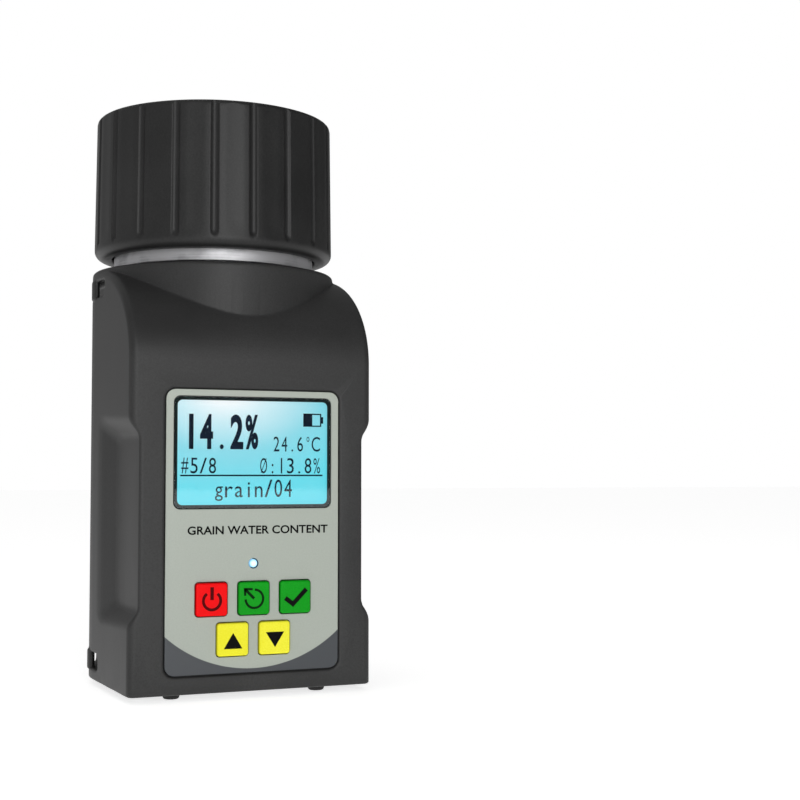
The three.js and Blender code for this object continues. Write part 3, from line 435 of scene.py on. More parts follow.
def housingField(x, y, z):
    outer = bodyField(x, y, z)
    outer = roundMax(outer, -gripField(x, y, z), grip["ease"])
    inner = outer + housing["wall"]
    for side in (-1, 1):
        for low, scoopAngle, bridgeAngle in strap["slots"]:
            reach = rearRadius - strap["depth"] + strap["scoop"]
            cx, cy = aroundCup(side, scoopAngle, reach)
            half = strap["height"] / 2
            level = np.abs(z - low - half)
            scoop = roundMax(np.hypot(x - cx, y - cy) - strap["scoop"], level - half, 0.8)
            outer = roundMax(outer, -scoop, 0.7)
            inner = np.maximum(inner, strap["skin"] - scoop)
            thick, long = strap["bridge"]
            bx, by = aroundCup(side, bridgeAngle, rearRadius + strap["proud"] - thick)
            lean = math.radians(bridgeAngle)
            u = side * (x - bx) * math.cos(lean) + (y - by) * math.sin(lean)
            v = (y - by) * math.cos(lean) - side * (x - bx) * math.sin(lean)
            bridge = roundMax(ellipseField(u, v, thick, long), level - half - 0.9, 0.8)
            outer = np.minimum(outer, bridge)
    radius, (postLow, postHigh) = housing["postRadius"], housing["postSpan"]
    for side in (-1, 1):
        halfWidth = rearRadius - housing["frontTaper"]
        rear = aroundCup(side, housing["rearPostAngle"], rearRadius - housing["postInset"])
        front = (side * (halfWidth - housing["postInset"]), frontY + housing["postBehindFront"])
        for px, py in (front, rear):
            post = np.maximum(np.hypot(x - px, y - py) - radius, np.maximum(postLow - z, z - postHigh))
            inner = np.maximum(inner, -post)
    shell = np.maximum(outer, -inner)
    shell = roundMax(shell, -z, 0.5)

    gap = housing["gap"]
    pocket = rectField(
        x,
        z - (labelLow[2] + labelHigh[2]) / 2,
        labelHigh[0] + gap,
        (labelHigh[2] - labelLow[2]) / 2 + gap,
        housing["labelCorner"] + gap,
    )
    shell = roundMax(shell, -np.maximum(pocket, y - frontY - housing["recess"]), 0.35)
    front = y + 40  # the cuts through the front wall end well behind it
    light = rectField(x, z - (paneLow[2] + paneHigh[2]) / 2, paneHigh[0] - 0.6,
                      (paneHigh[2] - paneLow[2]) / 2 - 0.6, 0.6)
    shell = np.maximum(shell, -np.maximum(light, front))
    for x0, x1, z0, z1, _, _ in keyBoxes.values():
        hole = rectField(x - (x0 + x1) / 2, z - (z0 + z1) / 2, (x1 - x0) / 2 + gap, (z1 - z0) / 2 + gap, 1.3)
        shell = np.maximum(shell, -np.maximum(hole, front))
    shell = np.maximum(shell, -np.maximum(np.hypot(x, z - lampZ) - lampRadius - gap, front))

    doorHole = rectField(x, z - doorMiddle, door["half"] + door["gap"],
                         doorHalfHeight + door["gap"], door["corner"] + door["gap"])
    shell = roundMax(shell, -np.maximum(doorHole, rearRadius / 2 - y), door["ease"])
    nx = door["half"] + door["gap"]
    ny = math.sqrt(rearRadius**2 - nx**2) + notchProud
    a, b, c = notchRadii
    near = np.sqrt(((x - nx) / a) ** 2 + ((y - ny) / b) ** 2 + ((z - doorMiddle) / c) ** 2)
    shell = roundMax(shell, -(near - 1) * b, 0.4)
    cupHole = np.maximum(np.hypot(x, y) - housing["neckHole"], topZ - housing["neckDepth"] - z)
    return roundMax(shell, -cupHole, 0.4)


voxel = housing["voxel"]
low = (shellLow[0] - 2, shellLow[1] - 2, shellLow[2] - 2)
high = (shellHigh[0] + 2, shellHigh[1] + 2, shellHigh[2] + 2)
x, y, z = gridFor(low, high, voxel)
points, faces = meshOf(housingField(x, y, z), low, voxel, housing["keep"])
makePiece("housing_shell", points, faces, housingAbs, "housing", "main_housing", "housing_plastic", 60)
print("housing made:", len(faces), "faces")


def doorField(x, y, z):
    far = np.hypot(x, y)
    outline = rectField(x, z - doorMiddle, door["half"], doorHalfHeight, door["corner"])
    panel = roundMax(far - rearRadius, outline, door["ease"])
    panel = roundMax(panel, rearRadius - door["thickness"] - far, 0.2)
    slot = rectField(x - door["slotX"], z - doorMiddle, *door["slotHalf"], 1)
    panel = roundMax(panel, -slot, door["ease"])
    root, tip = door["hookRoot"] - door["half"], -door["half"] - door["hookTip"]
    hookInner, hookOuter, riserTop = door["hookRadii"]
    above, under = door["hookLevels"]
    for middle in (doorBottom + above, doorTop - under):
        level = np.abs(z - middle) - door["hookHalf"]
        riser = np.maximum(np.maximum(hookInner - far, far - riserTop), x - root)
        riser = np.maximum(riser, -door["half"] - x)
        hook = np.maximum(np.maximum(hookInner - far, far - hookOuter), np.maximum(x - root, tip - x))
        panel = np.minimum(panel, np.maximum(np.minimum(riser, hook), level))
    return np.maximum(panel, 20 - y)


low = (-door["half"] - 3, 34, doorBottom - 1)
high = (door["half"] + 1, rearRadius + 1, doorTop + 1)
x, y, z = gridFor(low, high, door["voxel"])
points, faces = meshOf(doorField(x, y, z), low, door["voxel"], door["keep"])
makePiece(
    "battery_door_panel", points, faces, housingAbs, "battery_door", "battery_door", "housing_plastic", 60
)
print("battery door made")


cap = dict(
    bore=37,
    top=4,
    bottomRound=3.2,
    draft=0.65,
    grooves=20,
    grooveRadius=1.7,
    grooveDepth=0.8,
    lip=3.6,
    grooveTurn=1.8,  # degrees from the right-hand side to the first groove
    panelSag=0.2,  # the panels between the grooves are a little flatter than a circle
    boss=(17, 13.4, 18.6),
    stemHole=5.2,
    clipRoom=3.8,
    clipRoof=2.7,
    seatDrop=10,
)
capRadius = capHigh[0]
capBottom, capTop = capLow[2], capHigh[2]
roof = capTop - cap["top"]
bossRadius, bossBore, bossHeight = cap["boss"]
seatZ = capTop - cap["seatDrop"]
capOutline = rounded([
    (cap["bore"], capBottom, 0.6),
    (capRadius, capBottom, cap["bottomRound"]),
    (capRadius - cap["draft"], capTop, 1.8),
    (cap["stemHole"], capTop, 0.5),
    (cap["stemHole"], capTop - cap["clipRoof"], 0.3),
    (cap["stemHole"] + cap["clipRoom"], capTop - cap["clipRoof"]),
    (cap["stemHole"] + cap["clipRoom"], seatZ, 0.3),
    (bossBore, seatZ),
    (bossBore, roof - bossHeight, 0.4),
    (bossRadius, roof - bossHeight, 0.4),
    (bossRadius, roof, 0.8),
    (cap["bore"], roof, 1.5),
], steps=7)


def withLevels(outline, radius, spacing):  # adds points along the long wall outside the radius
    made = []
    for a, b in zip(outline, outline[1:] + outline[:1]):
        made.append(a)
        steps = int(math.dist(a, b) / spacing)
        if min(a[0], b[0]) > radius and steps > 4:
            for k in range(1, steps):
                made.append((a[0] + (b[0] - a[0]) * k / steps, a[1] + (b[1] - a[1]) * k / steps))
    return made


def capRadiusAt(r, z, angle):
    if r < cap["bore"] + 2:
        return r
    pitch = 2 * math.pi / cap["grooves"]
    across = (((angle - math.radians(cap["grooveTurn"])) / pitch + 0.5) % 1 - 0.5) * pitch * capRadius
    along = min(0, z - capBottom - cap["lip"] - cap["grooveRadius"])
    near = math.hypot(across, along)
    cut = math.sqrt(max(cap["grooveRadius"] ** 2 - near**2, 0)) - cap["grooveRadius"] + cap["grooveDepth"]
    cut = (cut + math.hypot(cut, 0.12)) / 2  # eases the groove's edge
    fade = min(1, max(0, (z - capBottom - 3) / 5))  # the panels start flat above the bottom round
    sag = cap["panelSag"] * fade * max(0, math.cos(across / (pitch * capRadius) * 2 * math.pi + math.pi))
    wall = capRadius - cap["draft"] * (z - capBottom) / (capTop - capBottom)
    return min(r, wall - cut - sag)


grooveSpots = [np.linspace(-0.5, -0.19, 6), np.linspace(-0.16, 0.16, 21), np.linspace(0.19, 0.44, 5)]
grooveSpots = np.concatenate(grooveSpots)  # shares of the pitch, closer together across a groove
groovePitch = 2 * math.pi / cap["grooves"]
capAngles = np.sort(np.concatenate([(i + grooveSpots) * groovePitch for i in range(cap["grooves"])]))
capAngles += math.radians(cap["grooveTurn"])
levelled = withLevels(capOutline, capRadius - 1.2, 0.8)
capBody = revolved(levelled, radiusAt=capRadiusAt, angles=capAngles)


thread = dict(
    pitch=5.0,
    rootHalf=1.2,
    crestHalf=0.7,
    belowRim=2,
    cupTurns=2,
    capTurns=1.7,
    capReach=2,
    cupReach=1.5,
    perTurn=96,
)


def threadRidge(root, crest, top, turns):
    # a trapezium swept down a right-handed helix, running out at both ends
    wide, narrow, pitch = thread["rootHalf"], thread["crestHalf"], thread["pitch"]
    section = [(root, -wide), (crest, -narrow), (crest, narrow), (root, wide)]
    steps = int(thread["perTurn"] * turns)
    points, faces = [], []
    for i in range(steps + 1):
        angle = -2 * math.pi * turns * i / steps
        drop = pitch * turns * i / steps
        ease = min(1, i / 10, (steps - i) / 10)  # the ridge runs out at its ends
        for r, h in section:
            far = root + (r - root) * ease
            points.append((far * math.cos(angle), far * math.sin(angle), top + h - drop))
    for i in range(steps):
        for k in range(4):
            a, b = 4 * i + k, 4 * i + (k + 1) % 4
            faces.append([a, b, b + 4, a + 4] if crest > root else [a + 4, b + 4, b, a])
    faces += [[3, 2, 1, 0], [4 * steps + k for k in range(4)]]
    return points, faces


rim = cupHigh[2]
threadTop = rim - thread["belowRim"]
capThreadTop = threadTop - thread["pitch"] / 2
crest = cap["bore"] - thread["capReach"]
capThread = threadRidge(cap["bore"] + 0.8, crest, capThreadTop, thread["capTurns"])
points, faces = joined(capBody, capThread)
makePiece("screw_cap", points, faces, capNylon, "cap", "cap_shell", "cap_plastic", 40)

stemLow, stemHigh = boxOf("plunger_stem")
stemRadius = 4.7
stemOutline = rounded([
    (0, stemLow[2]),
    (stemRadius, stemLow[2], 0.3),
    (stemRadius, stemHigh[2], 0.8),
    (0, stemHigh[2]),
])
makePiece("indicator_stem", *revolved(stemOutline, 64), brass, "plunger", "plunger_stem", "brass", 40)
print("cap made")


collar = dict(outer=34.2, inner=32, radius=36.2, low=1.2, height=6, ease=0.35)
collarLow = topZ + collar["low"]
bush = 8
floorZ = cupLow[2] + 3
cupOutline = rounded([
    (bush, cupLow[2]),
    (collar["outer"], cupLow[2], 0.5),
    (collar["outer"], collarLow),
    (collar["radius"], collarLow, collar["ease"]),
    (collar["radius"], collarLow + collar["height"], collar["ease"]),
    (collar["outer"], collarLow + collar["height"], 0.2),
    (collar["outer"], rim, 0.4),
    (collar["inner"], rim, 0.4),
    (collar["inner"], floorZ, 2.5),
    (bush, floorZ),
])
crest = collar["outer"] + thread["cupReach"]
cupThread = threadRidge(collar["outer"] - 0.6, crest, threadTop, thread["cupTurns"])
points, faces = joined(revolved(cupOutline, 192), cupThread)
makePiece("measuring_cup", points, faces, aluminium, "housing", "cell_cup", "turned_aluminium", 40)

gasket = dict(inner=34.5, outer=36, ease=0.2)
(_, _, gasketBottom), (_, _, gasketTop) = boxOf("neck_gasket")
gasketOutline = rounded([
    (gasket["inner"], gasketBottom),
    (gasket["outer"], gasketBottom, gasket["ease"]),
    (gasket["outer"], gasketTop, gasket["ease"]),
    (gasket["inner"], gasketTop),
])
makePiece("neck_seal", *revolved(gasketOutline, 128), rubber, "housing", "neck_gasket", "foot_rubber", 40)
print("cup made")


label = dict(
    corner=3.2,
    ease=0.12,
    arcCentreZ=52.7,  # the light panel ends on an arc of this centre and radius
    arcRadius=45.1,
)


def labelFilm():
    # polycarbonate film printed behind: a light panel that ends on an arc, with slate corners
    material, tree, surface, place = newMaterial("polycarbonate_film_printed", IOR=1.55, Roughness=0.42)
    split = addNode(tree, "ShaderNodeSeparateXYZ", {"Vector": place})
    centre = label["arcCentreZ"] * mm + baseZ
    flat = addNode(tree, "ShaderNodeCombineXYZ", {"X": split.outputs["X"], "Z": split.outputs["Z"]})
    far = addNode(tree, "ShaderNodeVectorMath", {0: flat.outputs[0], 1: (0, 0, centre)}, operation="DISTANCE")
    beyond = addNode(
        tree,
        "ShaderNodeMapRange",
        {
            "Value": far.outputs["Value"],
            "From Min": (label["arcRadius"] - 0.1) * mm,
            "From Max": (label["arcRadius"] + 0.1) * mm,
        },
    )
    below = addNode(tree, "ShaderNodeMath", {0: split.outputs["Z"], 1: centre}, operation="LESS_THAN")
    slate = addNode(tree, "ShaderNodeMath", {0: beyond.outputs[0], 1: below.outputs[0]}, operation="MULTIPLY")
    speck = addNode(tree, "ShaderNodeTexNoise", {"Vector": place, "Scale": 1 / (0.5 * mm), "Detail": 2})
    panel = addNode(tree, "ShaderNodeValToRGB", {"Fac": speck.outputs[0]})
    panel.color_ramp.elements[0].color = colour("#999f96")
    panel.color_ramp.elements[1].color = colour("#a6ada3")
    printed = addNode(
        tree,
        "ShaderNodeMix",
        {0: slate.outputs[0], 6: panel.outputs[0], 7: colour("#32363b")},
        data_type="RGBA",
    )
    bump = addNode(
        tree, "ShaderNodeBump", {"Height": speck.outputs[0], "Distance": 0.01 * mm, "Strength": 0.4}
    )
    tree.links.new(printed.outputs[2], surface.inputs["Base Color"])
    tree.links.new(bump.outputs[0], surface.inputs["Normal"])
    return material


gap = housing["gap"]
labelOutline = box2d(labelLow[0], labelHigh[0], labelLow[2], labelHigh[2], label["corner"])
paneGap = 0.3
paneCorner = 2
left, right = paneLow[0] - paneGap, paneHigh[0] + paneGap
holes = [box2d(left, right, paneLow[2] - paneGap, paneHigh[2] + paneGap, paneCorner + paneGap)]
for x0, x1, z0, z1, _, _ in keyBoxes.values():
    holes.append(box2d(x0 - gap, x1 + gap, z0 - gap, z1 + gap, 1.35))
circle = [2 * math.pi * k / 40 for k in range(40)]
holes.append([((lampRadius + gap) * math.cos(a), lampZ + (lampRadius + gap) * math.sin(a)) for a in circle])
points, faces = plate(labelOutline, holes, labelHigh[1], labelLow[1], label["ease"])
makePiece("front_label", points, faces, labelFilm(), "housing", "front_overlay", "label_film")


def lettering(text, x0, x1, z0, z1, back, front, bold=0.0):
    # text as a thin raised print that fills the given rectangle
    data = bpy.data.curves.new("text", "FONT")
    data.body = text
    data.size = 1
    data.offset = bold
    data.extrude = 0.5
    data.resolution_u = 4
    holder = bpy.data.objects.new("text", data)
    bpy.context.scene.collection.objects.link(holder)
    bpy.context.view_layer.update()
    mesh = bpy.data.meshes.new_from_object(holder.evaluated_get(bpy.context.evaluated_depsgraph_get()))
    spots = np.array([v.co for v in mesh.vertices])
    faces = [list(p.vertices) for p in mesh.polygons]
    least, most = spots.min(0), spots.max(0)
    share = (spots - least) / (most - least)
    points = np.column_stack([
        x0 + share[:, 0] * (x1 - x0),
        back + share[:, 2] * (front - back),
        z0 + share[:, 1] * (z1 - z0),
    ])
    bpy.data.objects.remove(holder)
    bpy.data.meshes.remove(mesh)
    return points, faces


glyph = dict(  # shares of a figure's height or width
    lowerCase=0.62,
    dotHeight=0.14,
    dotWidth=0.3,
    colonWidth=0.24,
    degreeLow=0.66,
    degreeWidth=0.5,
    oneWidth=0.2,
    boldOneWidth=0.34,
    below=0.2,
    iHeight=0.85,
    iWidth=0.28,
)


def typed(text, x0, x1, z0, z1, back, front, bold, share):
    # characters in cells of one width, as a dot screen sets them; figures fill the row's height
    cell = (x1 - x0) / len(text)
    tall, below = "0123456789%/#CØ", "gp"
    parts = []
    for i, mark in enumerate(text):
        low, high, width = z0, z1, share * cell
        if mark == ".":
            high, width = z0 + glyph["dotHeight"] * (z1 - z0), glyph["dotWidth"] * width
        elif mark == ":":
            high, width = z0 + glyph["lowerCase"] * (z1 - z0), glyph["colonWidth"] * width
        elif mark == "°":
            low, width = z0 + glyph["degreeLow"] * (z1 - z0), glyph["degreeWidth"] * width
        elif mark == "1":
            width = (glyph["boldOneWidth"] if bold else glyph["oneWidth"]) * width
        elif mark in below:
            low, high = z0 - glyph["below"] * (z1 - z0), z0 + glyph["lowerCase"] * (z1 - z0)
        elif mark == "i":
            high, width = z0 + glyph["iHeight"] * (z1 - z0), glyph["iWidth"] * width
        elif mark not in tall:
            high = z0 + glyph["lowerCase"] * (z1 - z0)
        middle = x0 + (i + 0.5) * cell
        parts.append(lettering(mark, middle - width / 2, middle + width / 2, low, high, back, front, bold))
    return joined(*parts)


labelFace = labelLow[1]
printSunk, printProud = 0.02, 0.04
title = dict(left=-22.8, right=26.4, low=52.2, high=55.0, bold=0.022)
points, faces = lettering(
    "GRAIN WATER CONTENT",
    title["left"],
    title["right"],
    title["low"],
    title["high"],
    labelFace + printSunk,
    labelFace - printProud,
    title["bold"],
)
makePiece("label_lettering", points, faces, symbolInk, "housing", slot="label_film")
print("label made")


lcd = dict(halfWidth=26.3, low=62.0, high=96.8, corner=1.7)


def clearPane():
    # polished acrylic: clear, with a sharp reflection and a trace of fine scratches
    material, tree, surface, place = newMaterial(
        "acrylic_polished_clear", IOR=1.49, Base_Color=(1, 1, 1, 1), Transmission_Weight=1
    )
    scratch = addNode(tree, "ShaderNodeTexNoise", {"Vector": place, "Scale": 1 / (1.5 * mm), "Detail": 5})
    gloss = addNode(tree, "ShaderNodeMapRange", {"Value": scratch.outputs[0], "To Min": 0.0, "To Max": 0.05})
    tree.links.new(gloss.outputs[0], surface.inputs["Roughness"])
    return material


def litScreen():
    # a backlit liquid crystal: cyan light, brightest where the lamps sit along the top
    material, tree, surface, place = newMaterial("liquid_crystal_backlit", Roughness=0.4)
    split = addNode(tree, "ShaderNodeSeparateXYZ", {"Vector": place})
    narrowed = addNode(tree, "ShaderNodeMath", {0: split.outputs["X"], 1: 0.55}, operation="MULTIPLY")
    flat = addNode(tree, "ShaderNodeCombineXYZ", {"X": narrowed.outputs[0], "Z": split.outputs["Z"]})
    spot = (-5 * mm, 0, (lcd["high"] + 2) * mm + baseZ)
    far = addNode(tree, "ShaderNodeVectorMath", {0: flat.outputs[0], 1: spot}, operation="DISTANCE")
    glow = addNode(
        tree,
        "ShaderNodeMapRange",
        {"Value": far.outputs["Value"], "From Min": 3 * mm, "From Max": 32 * mm},
    )
    ramp = addNode(tree, "ShaderNodeValToRGB", {"Fac": glow.outputs[0]})
    ramp.color_ramp.elements[0].color = colour("#f4fcff")
    ramp.color_ramp.elements[1].color = colour("#62dcec")
    for share, code in ((0.2, "#cdeef6"), (0.55, "#86d9e8")):
        ramp.color_ramp.elements.new(share).color = colour(code)
    surface.inputs["Base Color"].default_value = colour("#1c3438")
    tree.links.new(ramp.outputs[0], surface.inputs["Emission Color"])
    surface.inputs["Emission Strength"].default_value = 1.0
    return material


paneOutline = box2d(paneLow[0], paneHigh[0], paneLow[2], paneHigh[2], paneCorner)
points, faces = plate(paneOutline, [], paneHigh[1], paneLow[1], 0.08)
makePiece("window_pane", points, faces, clearPane(), "housing", "display_window", "window_pane")

borderInner = box2d(-lcd["halfWidth"], lcd["halfWidth"], lcd["low"], lcd["high"], lcd["corner"])
borderOuter = box2d(paneLow[0] + 0.05, paneHigh[0] - 0.05, paneLow[2] + 0.05, paneHigh[2] - 0.05, paneCorner)
points, faces = plate(borderOuter, [borderInner], paneHigh[1] + 0.08, paneHigh[1] + 0.02)
# border ink: near black with a touch of teal, so the lit screen stands out
borderInk = mouldedPlastic("screen_ink_dark_teal", "#10201f", "#182a2d", 0.6, 0.5, 0.002, ior=1.2)
makePiece("window_border", points, faces, borderInk, "housing", slot="window_pane")

glassLow, glassHigh = boxOf("display_glass")
glassOutline = box2d(glassLow[0], glassHigh[0], glassLow[2], glassHigh[2], 0.5)
points, faces = plate(glassOutline, [], glassHigh[1], glassLow[1], 0.1)
makePiece("display_panel", points, faces, litScreen(), "housing", "display_glass", "display_face")


def ribbon(path, width):  # the outline of a flat line of constant width along a path
    path = [np.array(p, dtype=float) for p in path]
    left, right = [], []
    for i, here in enumerate(path):
        before = path[i - 1] if i else here
        after = path[i + 1] if i + 1 < len(path) else here
        a, b = here - before, after - here
        a = a / np.linalg.norm(a) if np.linalg.norm(a) > 0 else b / np.linalg.norm(b)
        b = b / np.linalg.norm(b) if np.linalg.norm(b) > 0 else a
        side = np.array([-(a + b)[1], (a + b)[0]])
        side = side / np.linalg.norm(side)
        reach = width / 2 / max(0.35, side @ np.array([-a[1], a[0]]))
        left.append(tuple(here + side * reach))
        right.append(tuple(here - side * reach))
    return left + right[::-1]


def arcPath(centre, radius, start, end, steps=28):
    spots = [math.radians(start + (end - start) * k / steps) for k in range(steps + 1)]
    return [(centre[0] + radius * math.cos(a), centre[1] + radius * math.sin(a)) for a in spots]


screenFace = glassLow[1]
inkBack, inkFront = screenFace + printSunk, screenFace - printProud


def onScreen(u0, u1, v0, v1):  # shares of the lit area, from its left and top edges
    width, height = 2 * lcd["halfWidth"], lcd["high"] - lcd["low"]
    left, top = -lcd["halfWidth"], lcd["high"]
    return left + u0 * width, left + u1 * width, top - v1 * height, top - v0 * height


screenMarks = [  # text, its rectangle on the screen, how bold, and how much of its cell a character fills
    ("14.2%", (0.05, 0.55, 0.13, 0.467), 0.035, 0.86),
    ("24.6°", (0.64, 0.91, 0.34, 0.485), 0.0, 0.72),
    ("C", (0.905, 0.97, 0.34, 0.485), 0.0, 0.9),
    ("#5/8", (0.03, 0.27, 0.55, 0.70), 0.0, 0.78),
    ("Ø:13.8%", (0.55, 0.975, 0.55, 0.70), 0.0, 0.76),
    ("grain/04", (0.25, 0.78, 0.76, 0.93), 0.0, 0.78),
]
marks = []
for text, place, bold, share in screenMarks:
    x0, x1, z0, z1 = onScreen(*place)
    marks.append(typed(text, x0, x1, z0, z1, inkBack, inkFront, bold, share))
x0, x1, z0, z1 = onScreen(0.03, 0.985, 0.712, 0.727)
marks.append(plate([(x0, z0), (x1, z0), (x1, z1), (x0, z1)], [], inkBack, inkFront))
x0, x1, z0, z1 = onScreen(0.85, 0.975, 0.11, 0.24)
batteryLine = 0.45
batteryFrame = [(x0, z0), (x1, z0), (x1, z1), (x0, z1)]
inside = [(x0 + batteryLine, z0 + batteryLine), (x1 - batteryLine, z0 + batteryLine),
          (x1 - batteryLine, z1 - batteryLine), (x0 + batteryLine, z1 - batteryLine)]
marks.append(plate(batteryFrame, [inside], inkBack, inkFront))
halfway = (x0 + x1) / 2
charge = [(x0 + 0.2, z0 + 0.2), (halfway, z0 + 0.2), (halfway, z1 - 0.2), (x0 + 0.2, z1 - 0.2)]
marks.append(plate(charge, [], inkBack, inkFront))
nub = (z1 - z0) / 4
terminal = [(x1 - 0.1, z0 + nub), (x1 + 0.7, z0 + nub), (x1 + 0.7, z1 - nub), (x1 - 0.1, z1 - nub)]
marks.append(plate(terminal, [], inkBack, inkFront))
# dark segments: deep navy against the cyan light
crystalInk = mouldedPlastic("liquid_crystal_segments", "#051a30", "#08223c", 0.6, 0.5, 0.002, ior=1.2)
points, faces = joined(*marks)
makePiece("display_reading", points, faces, crystalInk, "housing", slot="display_face")
print("display made")


key = dict(corner=1.0, ease=0.55, symbolLine=0.95, stem=1.8, flange=1.2)
symbolFinish = dict(
    key_power=mouldedPlastic("screen_ink_maroon", "#480204", "#5a0408", 0.6, 0.4, 0.004, ior=1.15),
    key_return=mouldedPlastic("screen_ink_bottle_green", "#021f06", "#042a0a", 0.6, 0.4, 0.004, ior=1.15),
)
keyFinish = dict(
    key_power=keyRed,
    key_return=keyGreen,
    key_accept=keyGreen,
    key_up=keyYellow,
    key_down=keyYellow,
)
keySlot = dict(
    key_power="red_key",
    key_return="green_key",
    key_accept="green_key",
    key_up="yellow_key",
    key_down="yellow_key",
)


def blockMesh(x0, x1, y0, y1, z0, z1):
    points = [(x, y, z) for x in (x0, x1) for y in (y0, y1) for z in (z0, z1)]
    faces = [[0, 1, 3, 2], [4, 6, 7, 5], [0, 4, 5, 1], [2, 3, 7, 6], [0, 2, 6, 4], [1, 5, 7, 3]]
    return points, faces


def symbolOf(node, cx, cz):  # the outlines of a key's printed symbol
    line = key["symbolLine"]
    if node == "key_power":
        ring = ribbon(arcPath((cx, cz - 0.4), 2.95, 127, 411), line)
        bar = ribbon([(cx, cz - 0.1), (cx, cz + 4.1)], 1.2 * line)
        return [ring, bar]
    if node == "key_return":
        ring = ribbon(arcPath((cx, cz - 0.2), 3.05, 88, -178), 0.85 * line)
        tip = (cx - 3.3, cz + 3.1)
        head = ribbon([(cx - 0.6, tip[1] - 0.1), tip, (cx - 3.2, cz + 0.9)], 0.8 * line)
        shaft = ribbon([tip, (cx - 0.1, cz - 0.1)], line)
        return [ring, head, shaft]
    if node == "key_accept":
        return [ribbon([(cx - 3.7, cz - 0.3), (cx - 1.0, cz - 2.4), (cx + 3.8, cz + 2.5)], 1.6 * line)]
    base, apex = (-3.05, 2.2) if node == "key_up" else (1.95, -3.15)
    return [[(cx - 3.2, cz + base), (cx + 3.2, cz + base), (cx, cz + apex)]]


for node in keyNodes:
    x0, x1, z0, z1, front, back = keyBoxes[node]
    cx, cz = (x0 + x1) / 2, (z0 + z1) / 2
    flangeFront = frontY + housing["wall"] + 0.3
    capPart = plate(box2d(x0, x1, z0, z1, key["corner"]), [], flangeFront + 0.2, front, key["ease"], 4)
    flange = blockMesh(x0 - keyFlange, x1 + keyFlange, flangeFront, flangeFront + key["flange"], z0, z1)
    stemOutline = [(cx + key["stem"] * math.cos(a), cz + key["stem"] * math.sin(a)) for a in circle]
    stem = plate(stemOutline, [], back, flangeFront + 1)
    points, faces = joined(capPart, flange, stem)
    makePiece(node + "_cap", points, faces, keyFinish[node], node, node, keySlot[node], 50)
    outlines = symbolOf(node, cx, cz)
    symbols = [plate(outline, [], front + printSunk, front - printProud) for outline in outlines]
    points, faces = joined(*symbols)
    ink = symbolFinish.get(node, symbolInk)
    makePiece(node + "_symbol", points, faces, ink, node, slot=keySlot[node])


def lampLens():
    # a water-clear lens over a lit blue-white diode: the glow is bluer at its rim, and its white middle is a
    # painted highlight
    material, tree, surface, place = newMaterial(
        "epoxy_lens_lit_painted_highlight", IOR=1.5, Roughness=0.15, Emission_Strength=1.0
    )
    split = addNode(tree, "ShaderNodeSeparateXYZ", {"Vector": place})
    flat = addNode(tree, "ShaderNodeCombineXYZ", {"X": split.outputs["X"], "Z": split.outputs["Z"]})
    middle = (0, 0, lampZ * mm + baseZ)
    far = addNode(tree, "ShaderNodeVectorMath", {0: flat.outputs[0], 1: middle}, operation="DISTANCE")
    ramp = addNode(
        tree,
        "ShaderNodeMapRange",
        {"Value": far.outputs["Value"], "From Min": 0.2 * mm, "From Max": 1.3 * mm},
    )
    # the white middle of this glow is a painted highlight, not light from the diode
    glow = addNode(tree, "ShaderNodeValToRGB", {"Fac": ramp.outputs[0]})
    glow.color_ramp.elements[0].color = colour("#e8f6ff")
    glow.color_ramp.elements[1].color = colour("#6ea8cc")
    surface.inputs["Base Color"].default_value = colour("#9cc4dc")
    tree.links.new(glow.outputs[0], surface.inputs["Emission Color"])
    return material


lensOutline = [
    (lampRadius * math.sin(a), lampFront + 0.9 * (1 - math.cos(a))) for a in np.linspace(0, math.pi / 2, 10)
]
lensOutline += [(lampRadius, lampBack - 1.2), (lampRadius + 0.7, lampBack - 1.2)]
lensOutline += [(lampRadius + 0.7, lampBack), (0, lampBack)]
points, faces = revolved(lensOutline, 40)
points = [(p[0], p[2], lampZ - p[1]) for p in points]  # turned about an axis that runs front to back
makePiece("lamp_lens", points, faces, lampLens(), "housing", "status_lamp", "lamp_lens", 40)
print("keys and lamp made")


foot = dict(radius=3.2, sole=0.8, neck=1.8)
for spot in ("front_left", "front_right", "rear_left", "rear_right"):
    (x0, y0, z0), (x1, y1, z1) = boxOf("foot_" + spot)
    centre, radius, neck = ((x0 + x1) / 2, (y0 + y1) / 2), foot["radius"], foot["neck"]
    outline = rounded([
        (0, z0),
        (foot["sole"] * radius, z0, 0.8),
        (radius, 0.1, 0.2),
        (neck, 0.1),
        (neck, z1, 0.2),
        (0, z1),
    ])
    points, faces = revolved(outline, 48, centre)
    makePiece("rubber_foot_" + spot, points, faces, rubber, "housing", "foot_" + spot, "foot_rubber", 40)
print("feet made")


def circuitBoard():
    # glass-epoxy board under green solder mask, with faint copper runs showing through
    material, tree, surface, place = newMaterial("glass_epoxy_solder_mask", IOR=1.55, Roughness=0.35)
    runs = addNode(tree, "ShaderNodeTexBrick", {"Vector": place, "Scale": 1 / (18 * mm), "Mortar Size": 0.03})
    runs.inputs["Color1"].default_value = colour("#174a2b")
    runs.inputs["Color2"].default_value = colour("#1d5a34")
    runs.inputs["Mortar"].default_value = colour("#2f7a48")
    tree.links.new(runs.outputs[0], surface.inputs["Base Color"])
    return material


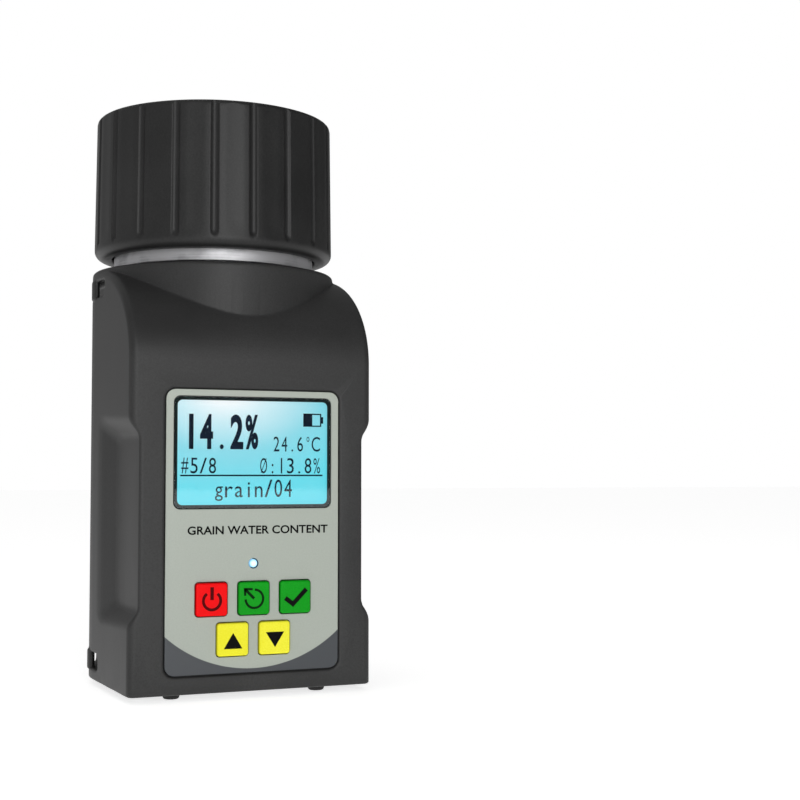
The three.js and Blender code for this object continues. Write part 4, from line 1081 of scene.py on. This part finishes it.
board = circuitBoard()
stays = {
    "base_cover": housingAbs,
    "display_frame": steel,
    "display_backlight": acetal,
    "main_board": board,
    "battery_tray": innerAbs,
    "cell_insulator": acetal,
    "centre_electrode": aluminium,
    "electrode_nut": brass,
    "temperature_sensor": steel,
    "cup_ring_nut": aluminium,
    "electrode_lead": redLead,
    "battery_lead_positive": redLead,
    "battery_lead_negative": blackLead,
    "spring_seat": acetal,
    "pressure_spring": steel,
    "pressure_plate": innerAbs,
    "stem_clip": steel,
}
prefixes = {
    "base_screw": steel,
    "switch_": innerAbs,
    "board_screw": steel,
    "battery_cell": sleeve,
    "contact_": steel,
}
for name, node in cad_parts.items():
    finish = stays.get(name) or next((m for p, m in prefixes.items() if name.startswith(p)), None)
    if finish and not node.hide_render:
        node.data.materials.clear()
        node.data.materials.append(finish)


view = dict(
    place=(-151.74, -518.29, 72.55),  # millimetres in the drawing
    heading=23.628,  # degrees from +Y towards +X
    pitch=2.868,
    lens=65.66,
)
camera = bpy.data.objects.new("camera", bpy.data.cameras.new("camera"))
camera.data.lens = view["lens"]
camera.data.sensor_width = 36
camera.data.clip_start, camera.data.clip_end = 0.01, 20
camera.location = toFrame(view["place"])
camera.rotation_euler = Euler((math.radians(90 + view["pitch"]), 0, -math.radians(view["heading"])))
bpy.context.scene.collection.objects.link(camera)
bpy.context.scene.camera = camera

floorSize = 6
floorMesh = bpy.data.meshes.new("floor")
floorMesh.from_pydata(
    [(floorSize * a, floorSize * b, 0) for a, b in ((-1, -1), (1, -1), (1, 1), (-1, 1))],
    [],
    [[0, 1, 2, 3]],
)
floor = bpy.data.objects.new("floor", floorMesh)
bpy.context.scene.collection.objects.link(floor)
# an opal light table glows a little, so the floor runs into the backdrop without a dark horizon
floorPaint = newMaterial(
    "acrylic_opal_light_table",
    Base_Color=(0.86, 0.86, 0.86, 1),
    Roughness=0.9,
    Emission_Color=(1, 1, 1, 1),
    Emission_Strength=0.72,
)[0]
floorMesh.materials.append(floorPaint)

world = bpy.data.worlds.new("studio")
bpy.context.scene.world = world
world.use_nodes = True
sky = world.node_tree
sky.nodes.clear()
seen = addNode(sky, "ShaderNodeLightPath", {}).outputs["Is Camera Ray"]
towards = addNode(sky, "ShaderNodeTexCoord", {}).outputs["Generated"]
turn = math.radians(view["heading"])
across = (math.cos(turn), -math.sin(turn), 0)
sideways = addNode(sky, "ShaderNodeVectorMath", {0: towards, 1: across}, operation="DOT_PRODUCT")
flagged = addNode(  # black flags stand to the right, so the round pieces darken towards that side
    sky,
    "ShaderNodeMapRange",
    {"Value": sideways.outputs["Value"], "From Min": -0.1, "From Max": 0.55, "To Min": 0.42, "To Max": 0.06},
)
studio = addNode(sky, "ShaderNodeBackground", {"Color": (1, 1, 1, 1), "Strength": flagged.outputs[0]})
backdrop = addNode(sky, "ShaderNodeBackground", {"Color": (1, 1, 1, 1), "Strength": 1.0})
shown = addNode(sky, "ShaderNodeMixShader", {0: seen, 1: studio.outputs[0], 2: backdrop.outputs[0]})
addNode(sky, "ShaderNodeOutputWorld", {"Surface": shown.outputs[0]})

softboxes = [
    # name, azimuth from the front towards -X, elevation, distance, size, power, all in degrees and metres
    ("key", 4, 6, 1.3, (0.55, 0.8), 9.5),
    ("top", 0, 85, 1.4, (1.2, 1.2), 0.8),
]
for name, azimuth, elevation, distance, size, power in softboxes:
    lamp = bpy.data.lights.new(name, "AREA")
    lamp.shape = "RECTANGLE"
    lamp.size, lamp.size_y = size
    lamp.energy = power
    holder = bpy.data.objects.new(name, lamp)
    a, e = math.radians(azimuth), math.radians(elevation)
    away = Vector((-math.sin(a) * math.cos(e), -math.cos(a) * math.cos(e), math.sin(e)))
    holder.location = Vector((0, 0, 0.1)) + away * distance
    holder.rotation_euler = (-away).to_track_quat("-Z", "Y").to_euler()
    bpy.context.scene.collection.objects.link(holder)
bpy.context.scene.view_settings.view_transform = "Standard"
print("stage set")
